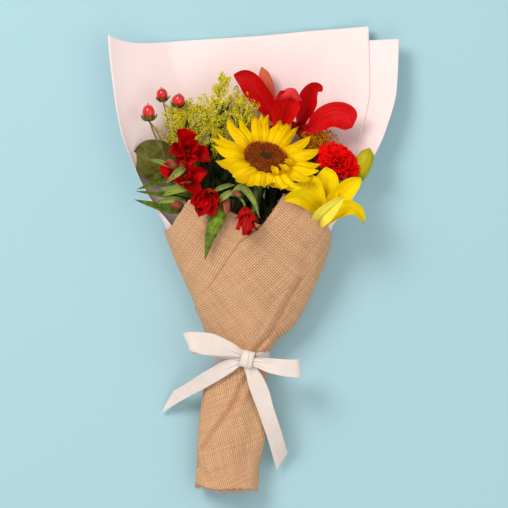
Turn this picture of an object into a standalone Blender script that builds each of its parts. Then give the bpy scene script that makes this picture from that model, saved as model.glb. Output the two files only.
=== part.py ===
"""A wrapped hand bouquet, lying on its back on a table.

The bouquet lies along Y with its heads towards +Y and its foot towards -Y. Z is up, and the
table is at Z = 0. The origin is on the table, at the middle of the bouquet's length and width.
All sizes below are millimetres, and the model is built in metres.
"""

import math

import bmesh
import bpy
from mathutils import Matrix, Vector

MM = 0.001

# The wraps
BURLAP_THICKNESS = 1.2
BURLAP_LAP_STEP = 2.2
BURLAP_TURN_START = -0.30
BURLAP_TURN_END = 1.10
PAPER_THICKNESS = 0.7
PAPER_STEP = 1.15
PAPER_FOOT_Y = -238.0
PAPER_WRAP_AT_WAIST = 150.0
PAPER_CLEARANCE = 0.7
PAPER_INSET = 7.9
FOOT_Y = -276.0
WAIST_Y = -122.4
WAIST_LIFT = 2.5
WAIST_SPREAD = 22.0
SIDE_LEVEL = 0.46
SIDE_SWING = 0.54

# The ribbon and the twine under the wraps
RIBBON_WIDTH = 22.0
RIBBON_THICKNESS = 0.9
RIBBON_GAP = 0.4
KNOT_SIZE = Vector((19.0, 20.0, 11.0))
KNOT_CENTRE = Vector((-8.0, -121.5, 53.4))
KNOT_TURN = math.radians(-14)
KNOT_ROUNDING = 3.2
TWINE_RADIUS = 0.9
TWINE_TURNS = 2.4
TWINE_PITCH = 2.4
TIE_HALF_WIDTH = 18.0
TIE_HALF_HEIGHT = 15.5

# Where the stems are tied, and where they are cut
BUNDLE_X = -14.3
BUNDLE_Z = 22.6
CUT_X = -29.0
CUT_Y = -264.0
CUT_Z = 22.0
CUT_SPREAD = 1.2
BUNDLE_LINE = (
    # the middle of the bundle where its stems run side by side, and how loosely they lie
    (-23.0, -205.0, 22.4, 1.12),
    (-17.0, -160.0, 22.6, 1.05),
    (BUNDLE_X, WAIST_Y, BUNDLE_Z, 1.0),
    (-11.5, -96.0, 22.9, 1.14),
)

# The sunflower head
SUN_CENTRE = Vector((14.5, 119.6, 72.0))
SUN_TILT = math.radians(50)
SUN_LEAN = math.radians(17)
SUN_DISC_RADIUS = 27.5
SUN_DISC_DEPTH = 6.0
WHORL_THICKNESS = 0.8
SUN_RAY_RING = 21.0
SUN_RAY_BEND = 28.5
SUN_RAY_LENGTH = 67.0
SUN_RAYS = 16
SUN_RAY_WIDTH = 17.0

CALYX_GAP = 0.8

# The carnation: its calyx, and the half widths, dome and underside of its bloom
CARNATION_BASE = Vector((100.0, 109.5, 30.0))
CARNATION_AXIS = Vector((0.1, 0.3, 0.95)).normalized()
CARNATION_RADII = (24.0, 21.5)
CARNATION_DOME = 13.0
CARNATION_UNDERSIDE = 8.0

# The two lilies, where their petals start
RED_LILY_END = Vector((42.0, 153.0, 16.0))
RED_LILY_AXIS = Vector((0.12, 0.95, 0.3))
YELLOW_LILY_END = Vector((74.0, 35.0, 50.0))
YELLOW_LILY_AXIS = Vector((0.35, 0.72, 0.6))

SLEEVE_STATIONS = (
    # along the bouquet, left side, right side, height
    (-284.0, -71.5, 6.5, 44.0),
    (-250.0, -69.0, 8.5, 45.0),
    (-211.0, -67.5, 17.0, 46.0),
    (-180.0, -64.0, 15.0, 46.0),
    (-148.0, -58.0, 17.0, 46.0),
    (-122.4, -46.3, 17.7, 47.0),
    (-102.0, -54.0, 29.0, 50.0),
    (-80.0, -62.5, 52.0, 56.0),
    (-50.0, -76.0, 68.5, 65.0),
    (-10.0, -94.0, 86.0, 77.0),
    (30.0, -109.5, 99.0, 88.0),
    (80.0, -126.0, 113.0, 96.0),
)
PAPER_STATIONS = (
    # along the bouquet, left side, right side, left height, right height, wrap left and right
    (28.0, -102.0, 91.5, 86.0, 86.0, 116.0, 116.0),
    (40.0, -107.5, 96.0, 90.0, 90.0, 112.0, 112.0),
    (58.0, -119.5, 112.5, 95.0, 92.0, 106.0, 105.0),
    (80.0, -131.5, 124.0, 101.0, 94.0, 99.0, 94.0),
    (120.0, -148.5, 144.5, 128.0, 98.0, 84.0, 76.0),
    (155.0, -161.0, 160.0, 165.0, 120.0, 72.0, 67.0),
    (206.0, -169.8, 173.4, 230.0, 148.0, 59.0, 59.0),
    (268.0, -175.8, 175.8, 300.0, 170.0, 52.0, 52.0),
    (284.0, -176.0, 175.8, 306.0, 172.0, 51.0, 51.0),
)
BURLAP_ROWS = (-245.0, -205.0, -170.0, -148.0, -133.4, -122.4, -111.4, -98.0, -80.0, -50.0, -15.0)
PAPER_ROWS = (-205.0, -170.0, -148.0, -133.4, -122.4, -111.4, -98.0, -80.0, -50.0, -10.0, 28.0,
              42.0, 60.0, 84.0, 120.0, 160.0, 210.0)
PAPER_COLUMNS = 24
FRONT_SHEET_COLUMNS = (0, 21)
BACK_SHEET_COLUMNS = (3, 24)
LAP_EDGE = (
    # along the bouquet, turn at which the burlap's outer edge lies
    (-280.0, -0.30),
    (-95.0, -0.30),
    (-67.0, -0.25),
    (-54.0, -0.19),
    (-31.0, -0.10),
    (-4.0, -0.05),
    (17.0, -0.02),
    (44.0, 0.029),
    (77.0, 0.06),
)
BURLAP_TOP = (
    # turn, how far up the bouquet the burlap's top edge lies
    (-0.30, 77.0),
    (0.06, 77.0),
    (0.12, 65.0),
    (0.19, 43.0),
    (0.25, 22.0),
    (0.35, 26.0),
    (0.50, 38.0),
    (0.65, 36.0),
    (0.77, 32.0),
    (0.817, 37.0),
    (0.864, 54.0),
    (0.90, 70.5),
    (0.94, 65.0),
    (0.97, 55.0),
    (1.00, 45.0),
    (1.10, 22.0),
)


def start_collections():
    """Empties the scene and makes the collections for the pieces and for their cutters."""
    for old in list(bpy.data.objects):
        bpy.data.objects.remove(old, do_unlink=True)
    pieces = bpy.data.collections.new("wrapped_bouquet")
    workshop = bpy.data.collections.new("workshop")
    bpy.context.scene.collection.children.link(pieces)
    bpy.context.scene.collection.children.link(workshop)
    return pieces, workshop


def finish(name, colour, roughness, metallic=0.0):
    material = bpy.data.materials.new(name)
    material.use_nodes = True
    shader = material.node_tree.nodes["Principled BSDF"]
    shader.inputs["Base Color"].default_value = (*colour, 1.0)
    shader.inputs["Roughness"].default_value = roughness
    shader.inputs["Metallic"].default_value = metallic
    return material


def ease(stations, place, column=1):
    """The value of a column at this place, on a smooth curve through the stations."""
    if place <= stations[0][0]:
        return stations[0][column]
    if place >= stations[-1][0]:
        return stations[-1][column]
    index = max(i for i, row in enumerate(stations) if row[0] <= place)
    index = min(index, len(stations) - 2)
    low, high = stations[index], stations[index + 1]
    span = high[0] - low[0]

    def slope(i):
        if i <= 0 or i >= len(stations) - 1:
            return (high[column] - low[column]) / span
        before, after = stations[i - 1], stations[i + 1]
        rise_in = (stations[i][column] - before[column]) / (stations[i][0] - before[0])
        rise_out = (after[column] - stations[i][column]) / (after[0] - stations[i][0])
        if rise_in * rise_out <= 0:
            return 0.0
        return 2 * rise_in * rise_out / (rise_in + rise_out)

    t = (place - low[0]) / span
    start = low[column] * (1 + 2 * t) * (1 - t) ** 2 + slope(index) * span * t * (1 - t) ** 2
    end = high[column] * t * t * (3 - 2 * t) - slope(index + 1) * span * t * t * (1 - t)
    return start + end


def smooth_path(points, count):
    """Points spread evenly in step along a Catmull-Rom curve through the given ones."""
    given = [Vector(point) for point in points]
    ends = [2 * given[0] - given[1]] + given + [2 * given[-1] - given[-2]]
    path = []
    for step in range(count):
        place = step / (count - 1) * (len(given) - 1)
        index = min(int(place), len(given) - 2)
        t = place - index
        a, b, c, d = ends[index : index + 4]
        path.append(
            0.5
            * (
                2 * b
                + (c - a) * t
                + (2 * a - 5 * b + 4 * c - d) * t * t
                + (3 * b - a - 3 * c + d) * t ** 3
            )
        )
    return path


def add_mesh(name, bm, material, collection):
    mesh = bpy.data.meshes.new(name)
    bm.to_mesh(mesh)
    bm.free()
    mesh.shade_smooth()
    mesh.materials.append(material)
    piece = bpy.data.objects.new(name, mesh)
    collection.objects.link(piece)
    return piece


def add_sheet(name, columns, rows, place, thickness, material, collection, closed=False, even=False):
    """A sheet of even thickness: place(across, along) gives the middle of it, both from 0 to 1."""
    bm = bmesh.new()
    bmesh.ops.create_grid(bm, x_segments=columns, y_segments=rows, size=1.0)
    for vertex in bm.verts:
        across, along = (vertex.co.x + 1) / 2, (vertex.co.y + 1) / 2
        vertex.co = Vector(place(across, along)) * MM
    if closed:
        bmesh.ops.remove_doubles(bm, verts=bm.verts, dist=0.00001)
    piece = add_mesh(name, bm, material, collection)
    skin = piece.modifiers.new("thickness", "SOLIDIFY")
    skin.thickness = thickness * MM
    skin.offset = 0.0
    skin.use_even_offset = even
    return piece


def add_stem(name, points, radius, material, collection, count=12, sides=1, swell=None):
    """A round stem along a smooth path. swell(along) scales its radius."""
    data = bpy.data.curves.new(name, "CURVE")
    data.dimensions = "3D"
    data.bevel_depth = radius * MM
    data.bevel_resolution = sides
    data.use_fill_caps = True
    spline = data.splines.new("POLY")
    path = smooth_path(points, count)
    spline.points.add(count - 1)
    for index, point in enumerate(path):
        spline.points[index].co = (*(point * MM), 1.0)
        spline.points[index].radius = swell(index / (count - 1)) if swell else 1.0
    data.materials.append(material)
    piece = bpy.data.objects.new(name, data)
    collection.objects.link(piece)
    return piece


def to_mesh(piece):
    """The same piece as a closed mesh object, in place of its curve."""
    bpy.context.view_layer.update()
    evaluated = piece.evaluated_get(bpy.context.evaluated_depsgraph_get())
    mesh = bpy.data.meshes.new_from_object(evaluated)
    bm = bmesh.new()
    bm.from_mesh(mesh)
    bmesh.ops.remove_doubles(bm, verts=bm.verts, dist=0.00001)
    bmesh.ops.recalc_face_normals(bm, faces=bm.faces)
    bm.to_mesh(mesh)
    bm.free()
    solid = bpy.data.objects.new(piece.name + "_solid", mesh)
    solid.matrix_world = piece.matrix_world
    for collection in piece.users_collection:
        collection.objects.link(solid)
    bpy.data.objects.remove(piece, do_unlink=True)
    return solid


def unite(name, pieces, collection, workshop):
    """Joins the pieces into one solid with this name."""
    solids = [to_mesh(piece) for piece in pieces]
    main = solids[0]
    main.name = name
    main.data.name = name
    for index, other in enumerate(solids[1:]):
        collection.objects.unlink(other)
        workshop.objects.link(other)
        other.name = f"{name}_branch_{index + 1}"
        other.hide_render = True
        other.display_type = "WIRE"
        join = main.modifiers.new(f"branch_{index + 1}", "BOOLEAN")
        join.operation = "UNION"
        join.solver = "EXACT"
        join.object = other
    return main


def sleeve(y, column):
    return ease(SLEEVE_STATIONS, y, column)


def sleeve_floor(y):
    """How far the burlap lifts off the table where the ribbon pulls it in."""
    return WAIST_LIFT * math.exp(-(((y - WAIST_Y) / WAIST_SPREAD) ** 2))


def sleeve_point(turn, y, inset):
    """A point of the burlap's round: turn 0 is on top, 0.25 at the right, 0.5 on the table."""
    angle = math.pi - 2 * math.pi * turn
    left, right, height = sleeve(y, 1), sleeve(y, 2), sleeve(y, 3)
    half = (right - left) / 2 - inset
    x = (left + right) / 2 + half * math.sin(angle)
    z = SIDE_LEVEL * height - (SIDE_SWING * height - inset) * math.cos(angle)
    floor = sleeve_floor(y) + min(inset, BURLAP_THICKNESS / 2)
    return Vector((x, y, max(z, floor)))


def build_burlap(pieces, jute):
    """One square of burlap rolled as a cone, its outer edge lapped over the front."""
    columns, rows = 36, len(BURLAP_ROWS) + 2

    def height(turn, row):
        if row == 0:
            return FOOT_Y - 4.0 * math.cos(2 * math.pi * (turn - 0.1))
        if row <= len(BURLAP_ROWS):
            return BURLAP_ROWS[row - 1]
        last, top = BURLAP_ROWS[-1], ease(BURLAP_TOP, turn)
        return top if row == rows else (last + top) / 2

    def place(across, along):
        row = round(along * rows)
        start = ease(LAP_EDGE, height(LAP_EDGE[-1][1], row))
        turn = start + (BURLAP_TURN_END - start) * across
        inset = BURLAP_THICKNESS / 2 + BURLAP_LAP_STEP * (turn - BURLAP_TURN_START)
        return sleeve_point(turn, height(turn, row), inset)

    add_sheet("burlap_wrap", columns, rows, place, BURLAP_THICKNESS, jute, pieces, even=True)


def wrap_angle(y, side):
    """How far round the paper reaches from straight down, in degrees: side 0 is left, 1 right."""
    first = PAPER_STATIONS[0]
    if y < first[0]:
        share = max(0.0, (y - WAIST_Y) / (first[0] - WAIST_Y))
        return PAPER_WRAP_AT_WAIST + (first[5 + side] - PAPER_WRAP_AT_WAIST) * share
    return ease(PAPER_STATIONS, y, 5 + side)


def paper_point(angle, y, step):
    """A point of the paper's round, angle in degrees from straight down, positive to the right.

    step is how far inside the outer sheet it lies.
    """
    side = 1 if angle >= 0 else 0
    wrap = wrap_angle(y, side)
    if y < PAPER_STATIONS[0][0]:
        left, right = sleeve(y, 1) + PAPER_INSET, sleeve(y, 2) - PAPER_INSET
        height = sleeve(y, 3)
    else:
        left, right = ease(PAPER_STATIONS, y, 1), ease(PAPER_STATIONS, y, 2)
        height = ease(PAPER_STATIONS, y, 3 + side)
    centre = (left + right) / 2
    reach = (right - left) / 2 / math.sin(math.radians(min(wrap, 90.0)))
    floor = sleeve_floor(y) + BURLAP_THICKNESS + PAPER_CLEARANCE
    level, swing = SIDE_LEVEL * height, SIDE_SWING * height - PAPER_INSET

    def section(degrees):
        bend = math.radians(degrees)
        return Vector((centre + reach * math.sin(bend), max(floor, level - swing * math.cos(bend))))

    here = section(angle)
    tangent = section(angle + 1.0) - section(angle - 1.0)
    tangent.normalize()
    return Vector((here.x - tangent.y * step, y, here.y + tangent.x * step))


def build_paper(pieces, blush):
    """Two sheets of stiff paper, the front one lying inside the back one."""
    sheets = (
        # name, first and last column of the round, top edge along those columns, step inwards
        ("paper_front_sheet", FRONT_SHEET_COLUMNS, PAPER_STEP,
         ((0.0, 268.8), (0.14, 260.5), (0.35, 265.0), (0.6, 270.5), (0.8, 277.0), (1.0, 281.4))),
        ("paper_back_sheet", BACK_SHEET_COLUMNS, 0.0,
         ((0.0, 250.0), (0.4, 258.0), (0.8, 264.0), (1.0, 265.2))),
    )
    rows = len(PAPER_ROWS) + 1
    for name, (first, last), step, top in sheets:
        def place(across, along, first=first, last=last, step=step, top=top):
            row = round(along * rows)
            if row == 0:
                y = PAPER_FOOT_Y
            elif row <= len(PAPER_ROWS):
                y = PAPER_ROWS[row - 1]
            else:
                y = ease(top, across)
            share = (first + (last - first) * across) / PAPER_COLUMNS
            left, right = wrap_angle(y, 0), wrap_angle(y, 1)
            return paper_point(-left + (left + right) * share, y, step)

        add_sheet(name, last - first, rows, place, PAPER_THICKNESS, blush, pieces, even=True)


def build_ribbon(pieces, workshop, satin):
    """One satin ribbon: a band round the waist, and a bow of two loops and two tails."""
    half = RIBBON_WIDTH / 2

    def band(across, along):
        y = WAIST_Y + (along - 0.5) * RIBBON_WIDTH
        return sleeve_point(across, y, -RIBBON_GAP - RIBBON_THICKNESS / 2)

    def strip(name, centre_line, sides, rows, columns=2):
        line = smooth_path(centre_line, rows + 1)
        edge = smooth_path(sides, rows + 1)

        def place(across, along):
            index = round(along * rows)
            return line[index] + edge[index] * (across * 2 - 1)

        return add_sheet(name, columns, rows, place, RIBBON_THICKNESS, satin, pieces)

    ring = add_sheet("ribbon", 32, 2, band, RIBBON_THICKNESS, satin, pieces, closed=True, even=True)
    left_loop = strip(
        "left_loop",
        [(-14, -117, 56), (-34, -108, 61), (-60, -103, 66), (-78, -101, 65), (-84, -101, 59),
         (-74, -104, 53.5), (-54, -107, 52), (-32, -114, 53), (-14, -119, 54)],
        [(1, 6, 0), (2, 11, 0), (1, 13, 0), (-2, 12, 0), (-3, 10, 0),
         (-1, 11, 0), (1, 10, 0), (2, 9, 0), (1, 6, 0)],
        16,
    )
    right_loop = strip(
        "right_loop",
        [(-2, -125, 56), (14, -128, 60), (36, -131, 64), (52, -132, 64), (58, -132, 58.5),
         (50, -132, 53), (32, -131, 51.5), (14, -129, 52), (-2, -126, 54)],
        [(0, 5, 0), (0, 8, 0), (-1, 10, 0), (-1, 11, 0), (-1, 11, 0),
         (-1, 10, 0), (-1, 9, 0), (0, 7, 0), (0, 5, 0)],
        16,
    )
    left_tail = strip(
        "left_tail",
        [(-12, -125, 52), (-30, -130, 50.5), (-50, -142, 44), (-72, -155, 32), (-92, -167, 18),
         (-104, -174, 8)],
        [(4, 6, 1), (5, 9, 0), (7, 10, 2), (7, 9, 3), (6, 10, 3), (7, 14, 2)],
        8,
    )
    right_tail = strip(
        "right_tail",
        [(-8, -127, 52), (0, -142, 50), (9, -164, 48.5), (19, -196, 42), (28, -224, 28), (35, -248, 11)],
        [(6, 1, 0), (8, 4, 0), (10, 5, 0), (9.5, 2, 0), (9, 2, 0), (6, 11, 0)],
        8,
    )
    bpy.ops.mesh.primitive_cube_add(size=1.0)
    knot = bpy.context.active_object
    knot.name = "knot"
    knot.data.transform(Matrix.Diagonal((*(KNOT_SIZE * MM), 1.0)))
    knot.data.transform(Matrix.Rotation(KNOT_TURN, 4, "Z"))
    knot.data.transform(Matrix.Translation(KNOT_CENTRE * MM))
    for collection in list(knot.users_collection):
        collection.objects.unlink(knot)
    pieces.objects.link(knot)
    knot.data.materials.append(satin)
    round_off = knot.modifiers.new("rounded", "BEVEL")
    round_off.width = KNOT_ROUNDING * MM
    round_off.segments = 2
    unite("ribbon_bow", [ring, knot, left_loop, right_loop, left_tail, right_tail], pieces, workshop)


def build_twine(pieces, fibre):
    """Twine wound round the stems at the waist, inside the wraps."""
    steps = 15
    count = int(TWINE_TURNS * steps) + 1
    winding = []
    for step in range(count):
        angle = 2 * math.pi * step / steps
        along = (step / (count - 1) - 0.5) * TWINE_PITCH * TWINE_TURNS
        winding.append(
            (
                BUNDLE_X + TIE_HALF_WIDTH * math.cos(angle),
                WAIST_Y + along,
                BUNDLE_Z + TIE_HALF_HEIGHT * math.sin(angle),
            )
        )
    add_stem("stem_tie", winding, TWINE_RADIUS, fibre, pieces, count=count)


def tied_stem(offset, beyond):
    """The route of a stem: its cut end, the tied stretch, and then the points beyond it."""
    across, up = offset
    cut = (CUT_X + across * CUT_SPREAD, CUT_Y, CUT_Z + up * CUT_SPREAD)
    middle = [(x + across * loose, y, z + up * loose) for x, y, z, loose in BUNDLE_LINE]
    return [cut] + middle + list(beyond)


def petal_width(along, base, widest, claw):
    """The outline of a petal: a narrow base, widest at the given place, a rounded tip."""
    if along < widest:
        t = along / widest
        return base + (1 - base) * math.sin(t * math.pi / 2) ** claw
    t = (along - widest) / (1 - widest)
    return max(0.1, (1 - t ** 2.4) ** 0.75)


def add_petal(name, spine, sides, width, material, collection, base=0.2, widest=0.55, cup=0.18,
              thickness=0.8, rows=7, columns=4, claw=1.2):
    """A petal or a leaf: a spine from base to tip, and its side direction at a few places."""
    line = smooth_path(spine, rows + 1)
    edge = smooth_path(sides, rows + 1)

    def place(across, along):
        index = round(along * rows)
        ahead = line[min(index + 1, rows)] - line[max(index - 1, 0)]
        side = edge[index].normalized()
        side = (side - ahead.normalized() * side.dot(ahead.normalized())).normalized()
        up = side.cross(ahead).normalized()
        half = width / 2 * petal_width(along, base, widest, claw)
        offset = across * 2 - 1
        return line[index] + side * half * offset + up * half * cup * 2 * (offset * offset - 0.3)

    return add_sheet(name, columns, rows, place, thickness, material, collection)


def flower_frame(axis, start):
    """Two directions across a flower's axis, the first of them nearest to start."""
    axis = Vector(axis).normalized()
    first = (Vector(start) - axis * axis.dot(Vector(start))).normalized()
    return axis, first, axis.cross(first)


def add_whorl(name, centre, axis, start, lobes, rows, shape, material, collection, ring, turn=0.0):
    """Petals on one ring, thick along the axis. shape gives radius, height and half width."""
    axis, first, second = flower_frame(axis, start)
    centre = Vector(centre)
    columns = lobes * 4
    pitch = 2 * math.pi / lobes

    def place(column, row):
        lobe, part = divmod(column, 4)
        middle = (lobe + 0.5) * pitch + turn
        reach = 1.0 if part == 2 else 0.78
        radius, height, half = shape(max(0, row - 1) / rows * reach, middle)
        half = min(half, 0.88 * radius * math.tan(pitch / 2))
        inward = ring if row == 0 else 1.0
        if part == 0:
            angle = middle - pitch / 2
            spoke = first * math.cos(angle) + second * math.sin(angle)
            return centre + axis * height + spoke * radius * inward
        out = first * math.cos(middle) + second * math.sin(middle)
        around = second * math.cos(middle) - first * math.sin(middle)
        return centre + axis * height + (out * radius + around * half * (part - 2)) * inward

    bm = bmesh.new()
    grid = {}
    for column in range(columns):
        for row in range(rows + 2):
            if row < 2 or column % 4:
                grid[column, row] = bm.verts.new((place(column, row) - axis * WHORL_THICKNESS / 2) * MM)
    for column in range(columns):
        beside = (column + 1) % columns
        for row in range(rows + 1):
            if row == 0 or column % 4 in (1, 2):
                corners = ((column, row), (beside, row), (beside, row + 1), (column, row + 1))
                bm.faces.new([grid[corner] for corner in corners])
    upper = bmesh.ops.extrude_face_region(bm, geom=bm.faces[:], use_keep_orig=True)
    raised = [item for item in upper["geom"] if isinstance(item, bmesh.types.BMVert)]
    bmesh.ops.translate(bm, verts=raised, vec=axis * WHORL_THICKNESS * MM)
    bmesh.ops.recalc_face_normals(bm, faces=bm.faces)
    return add_mesh(name, bm, material, collection)


def add_turned(name, profile, steps, centre, axis, material, collection):
    """A turned solid: its profile runs from the top of the axis down the outer side."""
    bm = bmesh.new()
    points = [bm.verts.new((radius * MM, 0.0, height * MM)) for radius, height in profile]
    for first, second in zip(points, points[1:]):
        bm.edges.new((first, second))
    piece = add_mesh(name, bm, material, collection)
    lathe = piece.modifiers.new("turned", "SCREW")
    lathe.axis = "Z"
    lathe.steps = steps
    lathe.render_steps = steps
    lathe.use_merge_vertices = True
    lathe.merge_threshold = 0.00001
    piece.rotation_mode = "QUATERNION"
    piece.rotation_quaternion = Vector((0, 0, 1)).rotation_difference(Vector(axis).normalized())
    piece.location = Vector(centre) * MM
    return piece


def add_ball(name, centre, radii, axis, material, collection, around=10, rings=6):
    """An egg-shaped solid, its long radius along the axis."""
    bm = bmesh.new()
    bmesh.ops.create_uvsphere(bm, u_segments=around, v_segments=rings, radius=1.0)
    for vertex in bm.verts:
        vertex.co = Vector((vertex.co.x * radii[0], vertex.co.y * radii[0], vertex.co.z * radii[1])) * MM
    turn = Vector((0, 0, 1)).rotation_difference(Vector(axis).normalized())
    bm.transform(Matrix.Translation(Vector(centre) * MM) @ turn.to_matrix().to_4x4())
    return add_mesh(name, bm, material, collection)


def bud_swell(along):
    return 0.35 + 0.65 * math.sin(math.pi * min(1.0, 0.12 + along * 0.8)) ** 0.8


def sun_axis():
    across = math.sin(SUN_LEAN) * math.sin(SUN_TILT)
    ahead = math.cos(SUN_LEAN) * math.sin(SUN_TILT)
    return Vector((across, ahead, math.cos(SUN_TILT)))


def build_sunflower(pieces, greens, yellow, seed):
    axis = sun_axis()
    up_the_picture = Vector((0, 1, 0))
    add_turned(
        "sunflower_disc",
        [(0.0, 4.6), (8.0, 4.8), (17.0, SUN_DISC_DEPTH), (24.0, 4.8), (SUN_DISC_RADIUS, 1.6), (26.0, -0.2),
         (0.0, -0.2)],
        22, SUN_CENTRE, axis, seed, pieces,
    )

    def rays(drop, cup):
        def shape(along, angle):
            rise = math.tan(math.radians(cup + 8.0 * math.cos(angle)))
            radius = SUN_RAY_BEND + (SUN_RAY_LENGTH - SUN_RAY_BEND) * along
            half = SUN_RAY_WIDTH / 2 * (0.45 + 0.55 * math.sin(math.pi * min(1.0, along * 1.15)))
            return radius, (radius - SUN_RAY_BEND) * rise - drop, half
        return shape

    add_whorl("sunflower_rays_front", SUN_CENTRE, axis, up_the_picture, SUN_RAYS, 4, rays(1.0, 10.0),
              yellow, pieces, SUN_RAY_RING / SUN_RAY_BEND)
    add_whorl("sunflower_rays_back", SUN_CENTRE, axis, up_the_picture, SUN_RAYS, 4, rays(2.3, 6.0),
              yellow, pieces, SUN_RAY_RING / SUN_RAY_BEND, turn=math.pi / SUN_RAYS)
    add_turned(
        "sunflower_calyx",
        [(0.0, -3.1), (24.0, -3.1), (25.5, -4.5), (22.0, -9.0), (14.0, -14.0), (7.0, -17.0), (0.0, -17.5)],
        16, SUN_CENTRE, axis, greens["stem"], pieces,
    )
    neck = SUN_CENTRE - axis * 18.6
    add_stem(
        "sunflower_stem",
        tied_stem((-0.7, 0.0), [(-7, -30, 26), (-1, 30, 31), (4, 70, 37), neck - axis * 13, neck]),
        5.0, greens["stem"], pieces, count=15, sides=2,
    )


def add_lily(petals, end, axis, lift, material, pieces):
    """Six petals in a ring, lift above the stem's end. turn is measured from the top."""
    axis, first, second = flower_frame(axis, (0, 0, 1))
    end = Vector(end)
    for name, turn, spine, sides, width in petals:
        angle = math.radians(turn)
        out = first * math.cos(angle) + second * math.sin(angle)
        around = second * math.cos(angle) - first * math.sin(angle)
        near, far = (3.2, 9.0) if turn % 120 else (2.4, 5.8)
        start = [end + axis * lift + out * near, end + axis * 9.0 + out * far]
        add_petal(name, start + spine, [around, around] + sides, width, material, pieces, base=0.09,
                  widest=0.6, claw=3.0)


def build_red_lily(pieces, red, rust):
    petals = (
        # name, turn round the stem, spine, side directions, width
        ("red_lily_petal_1", 300, [(28, 170, 18), (15, 187, 22), (2, 205, 30), (-11, 216, 38),
                                   (-23, 219, 44)],
         [(0.8, 0.5, 0.1), (0.8, 0.55, 0), (0.7, 0.7, 0), (0.4, 0.9, 0), (0.1, 1, 0)], 30),
        ("red_lily_petal_2", 0, [(41, 171, 29), (38, 183, 40), (45, 193, 49), (55, 196, 54), (61, 191, 54)],
         [(1, 0.1, 0), (1, 0.1, 0.1), (0.9, -0.3, 0.2), (0.6, -0.8, 0.2), (0.3, -1, 0.2)], 27),
        ("red_lily_petal_3", 120, [(60, 170, 19), (69, 184, 26), (75, 197, 36), (79, 205, 45), (81, 204, 52)],
         [(1, -0.6, 0.2), (1, -0.4, 0.1), (1, -0.3, 0), (1, -0.1, 0), (1, 0, 0)], 22),
        ("red_lily_petal_4", 60, [(63, 167, 27), (81, 172, 38), (98, 173, 45), (111, 165, 45),
                                  (117, 152, 40)],
         [(0.3, -1, 0), (0.2, -1, 0), (-0.2, -1, 0), (-0.9, -0.5, 0), (-1, -0.1, 0)], 27),
        ("red_lily_petal_5", 240, [(25, 154, 14), (12, 150, 12.5), (0, 148, 12), (-10, 147, 13)],
         [(0.2, -1, 0), (0.1, -1, 0), (0, -1, 0), (0, -1, 0)], 22),
        ("red_lily_petal_6", 180, [(56, 157, 11), (68, 150, 11), (79, 143, 12), (88, 137, 14)],
         [(-0.7, -0.7, 0), (-0.7, -0.7, 0), (-0.7, -0.7, 0), (-0.7, -0.7, 0)], 20),
    )
    add_lily(petals, RED_LILY_END, RED_LILY_AXIS, 1.15, red, pieces)
    add_stem("red_lily_bud", [(21.6, 186.4, 12.6), (19, 200, 14.5), (15, 215, 17), (10, 231, 22)], 8.2, rust,
             pieces, count=9, sides=2, swell=bud_swell)


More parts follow.
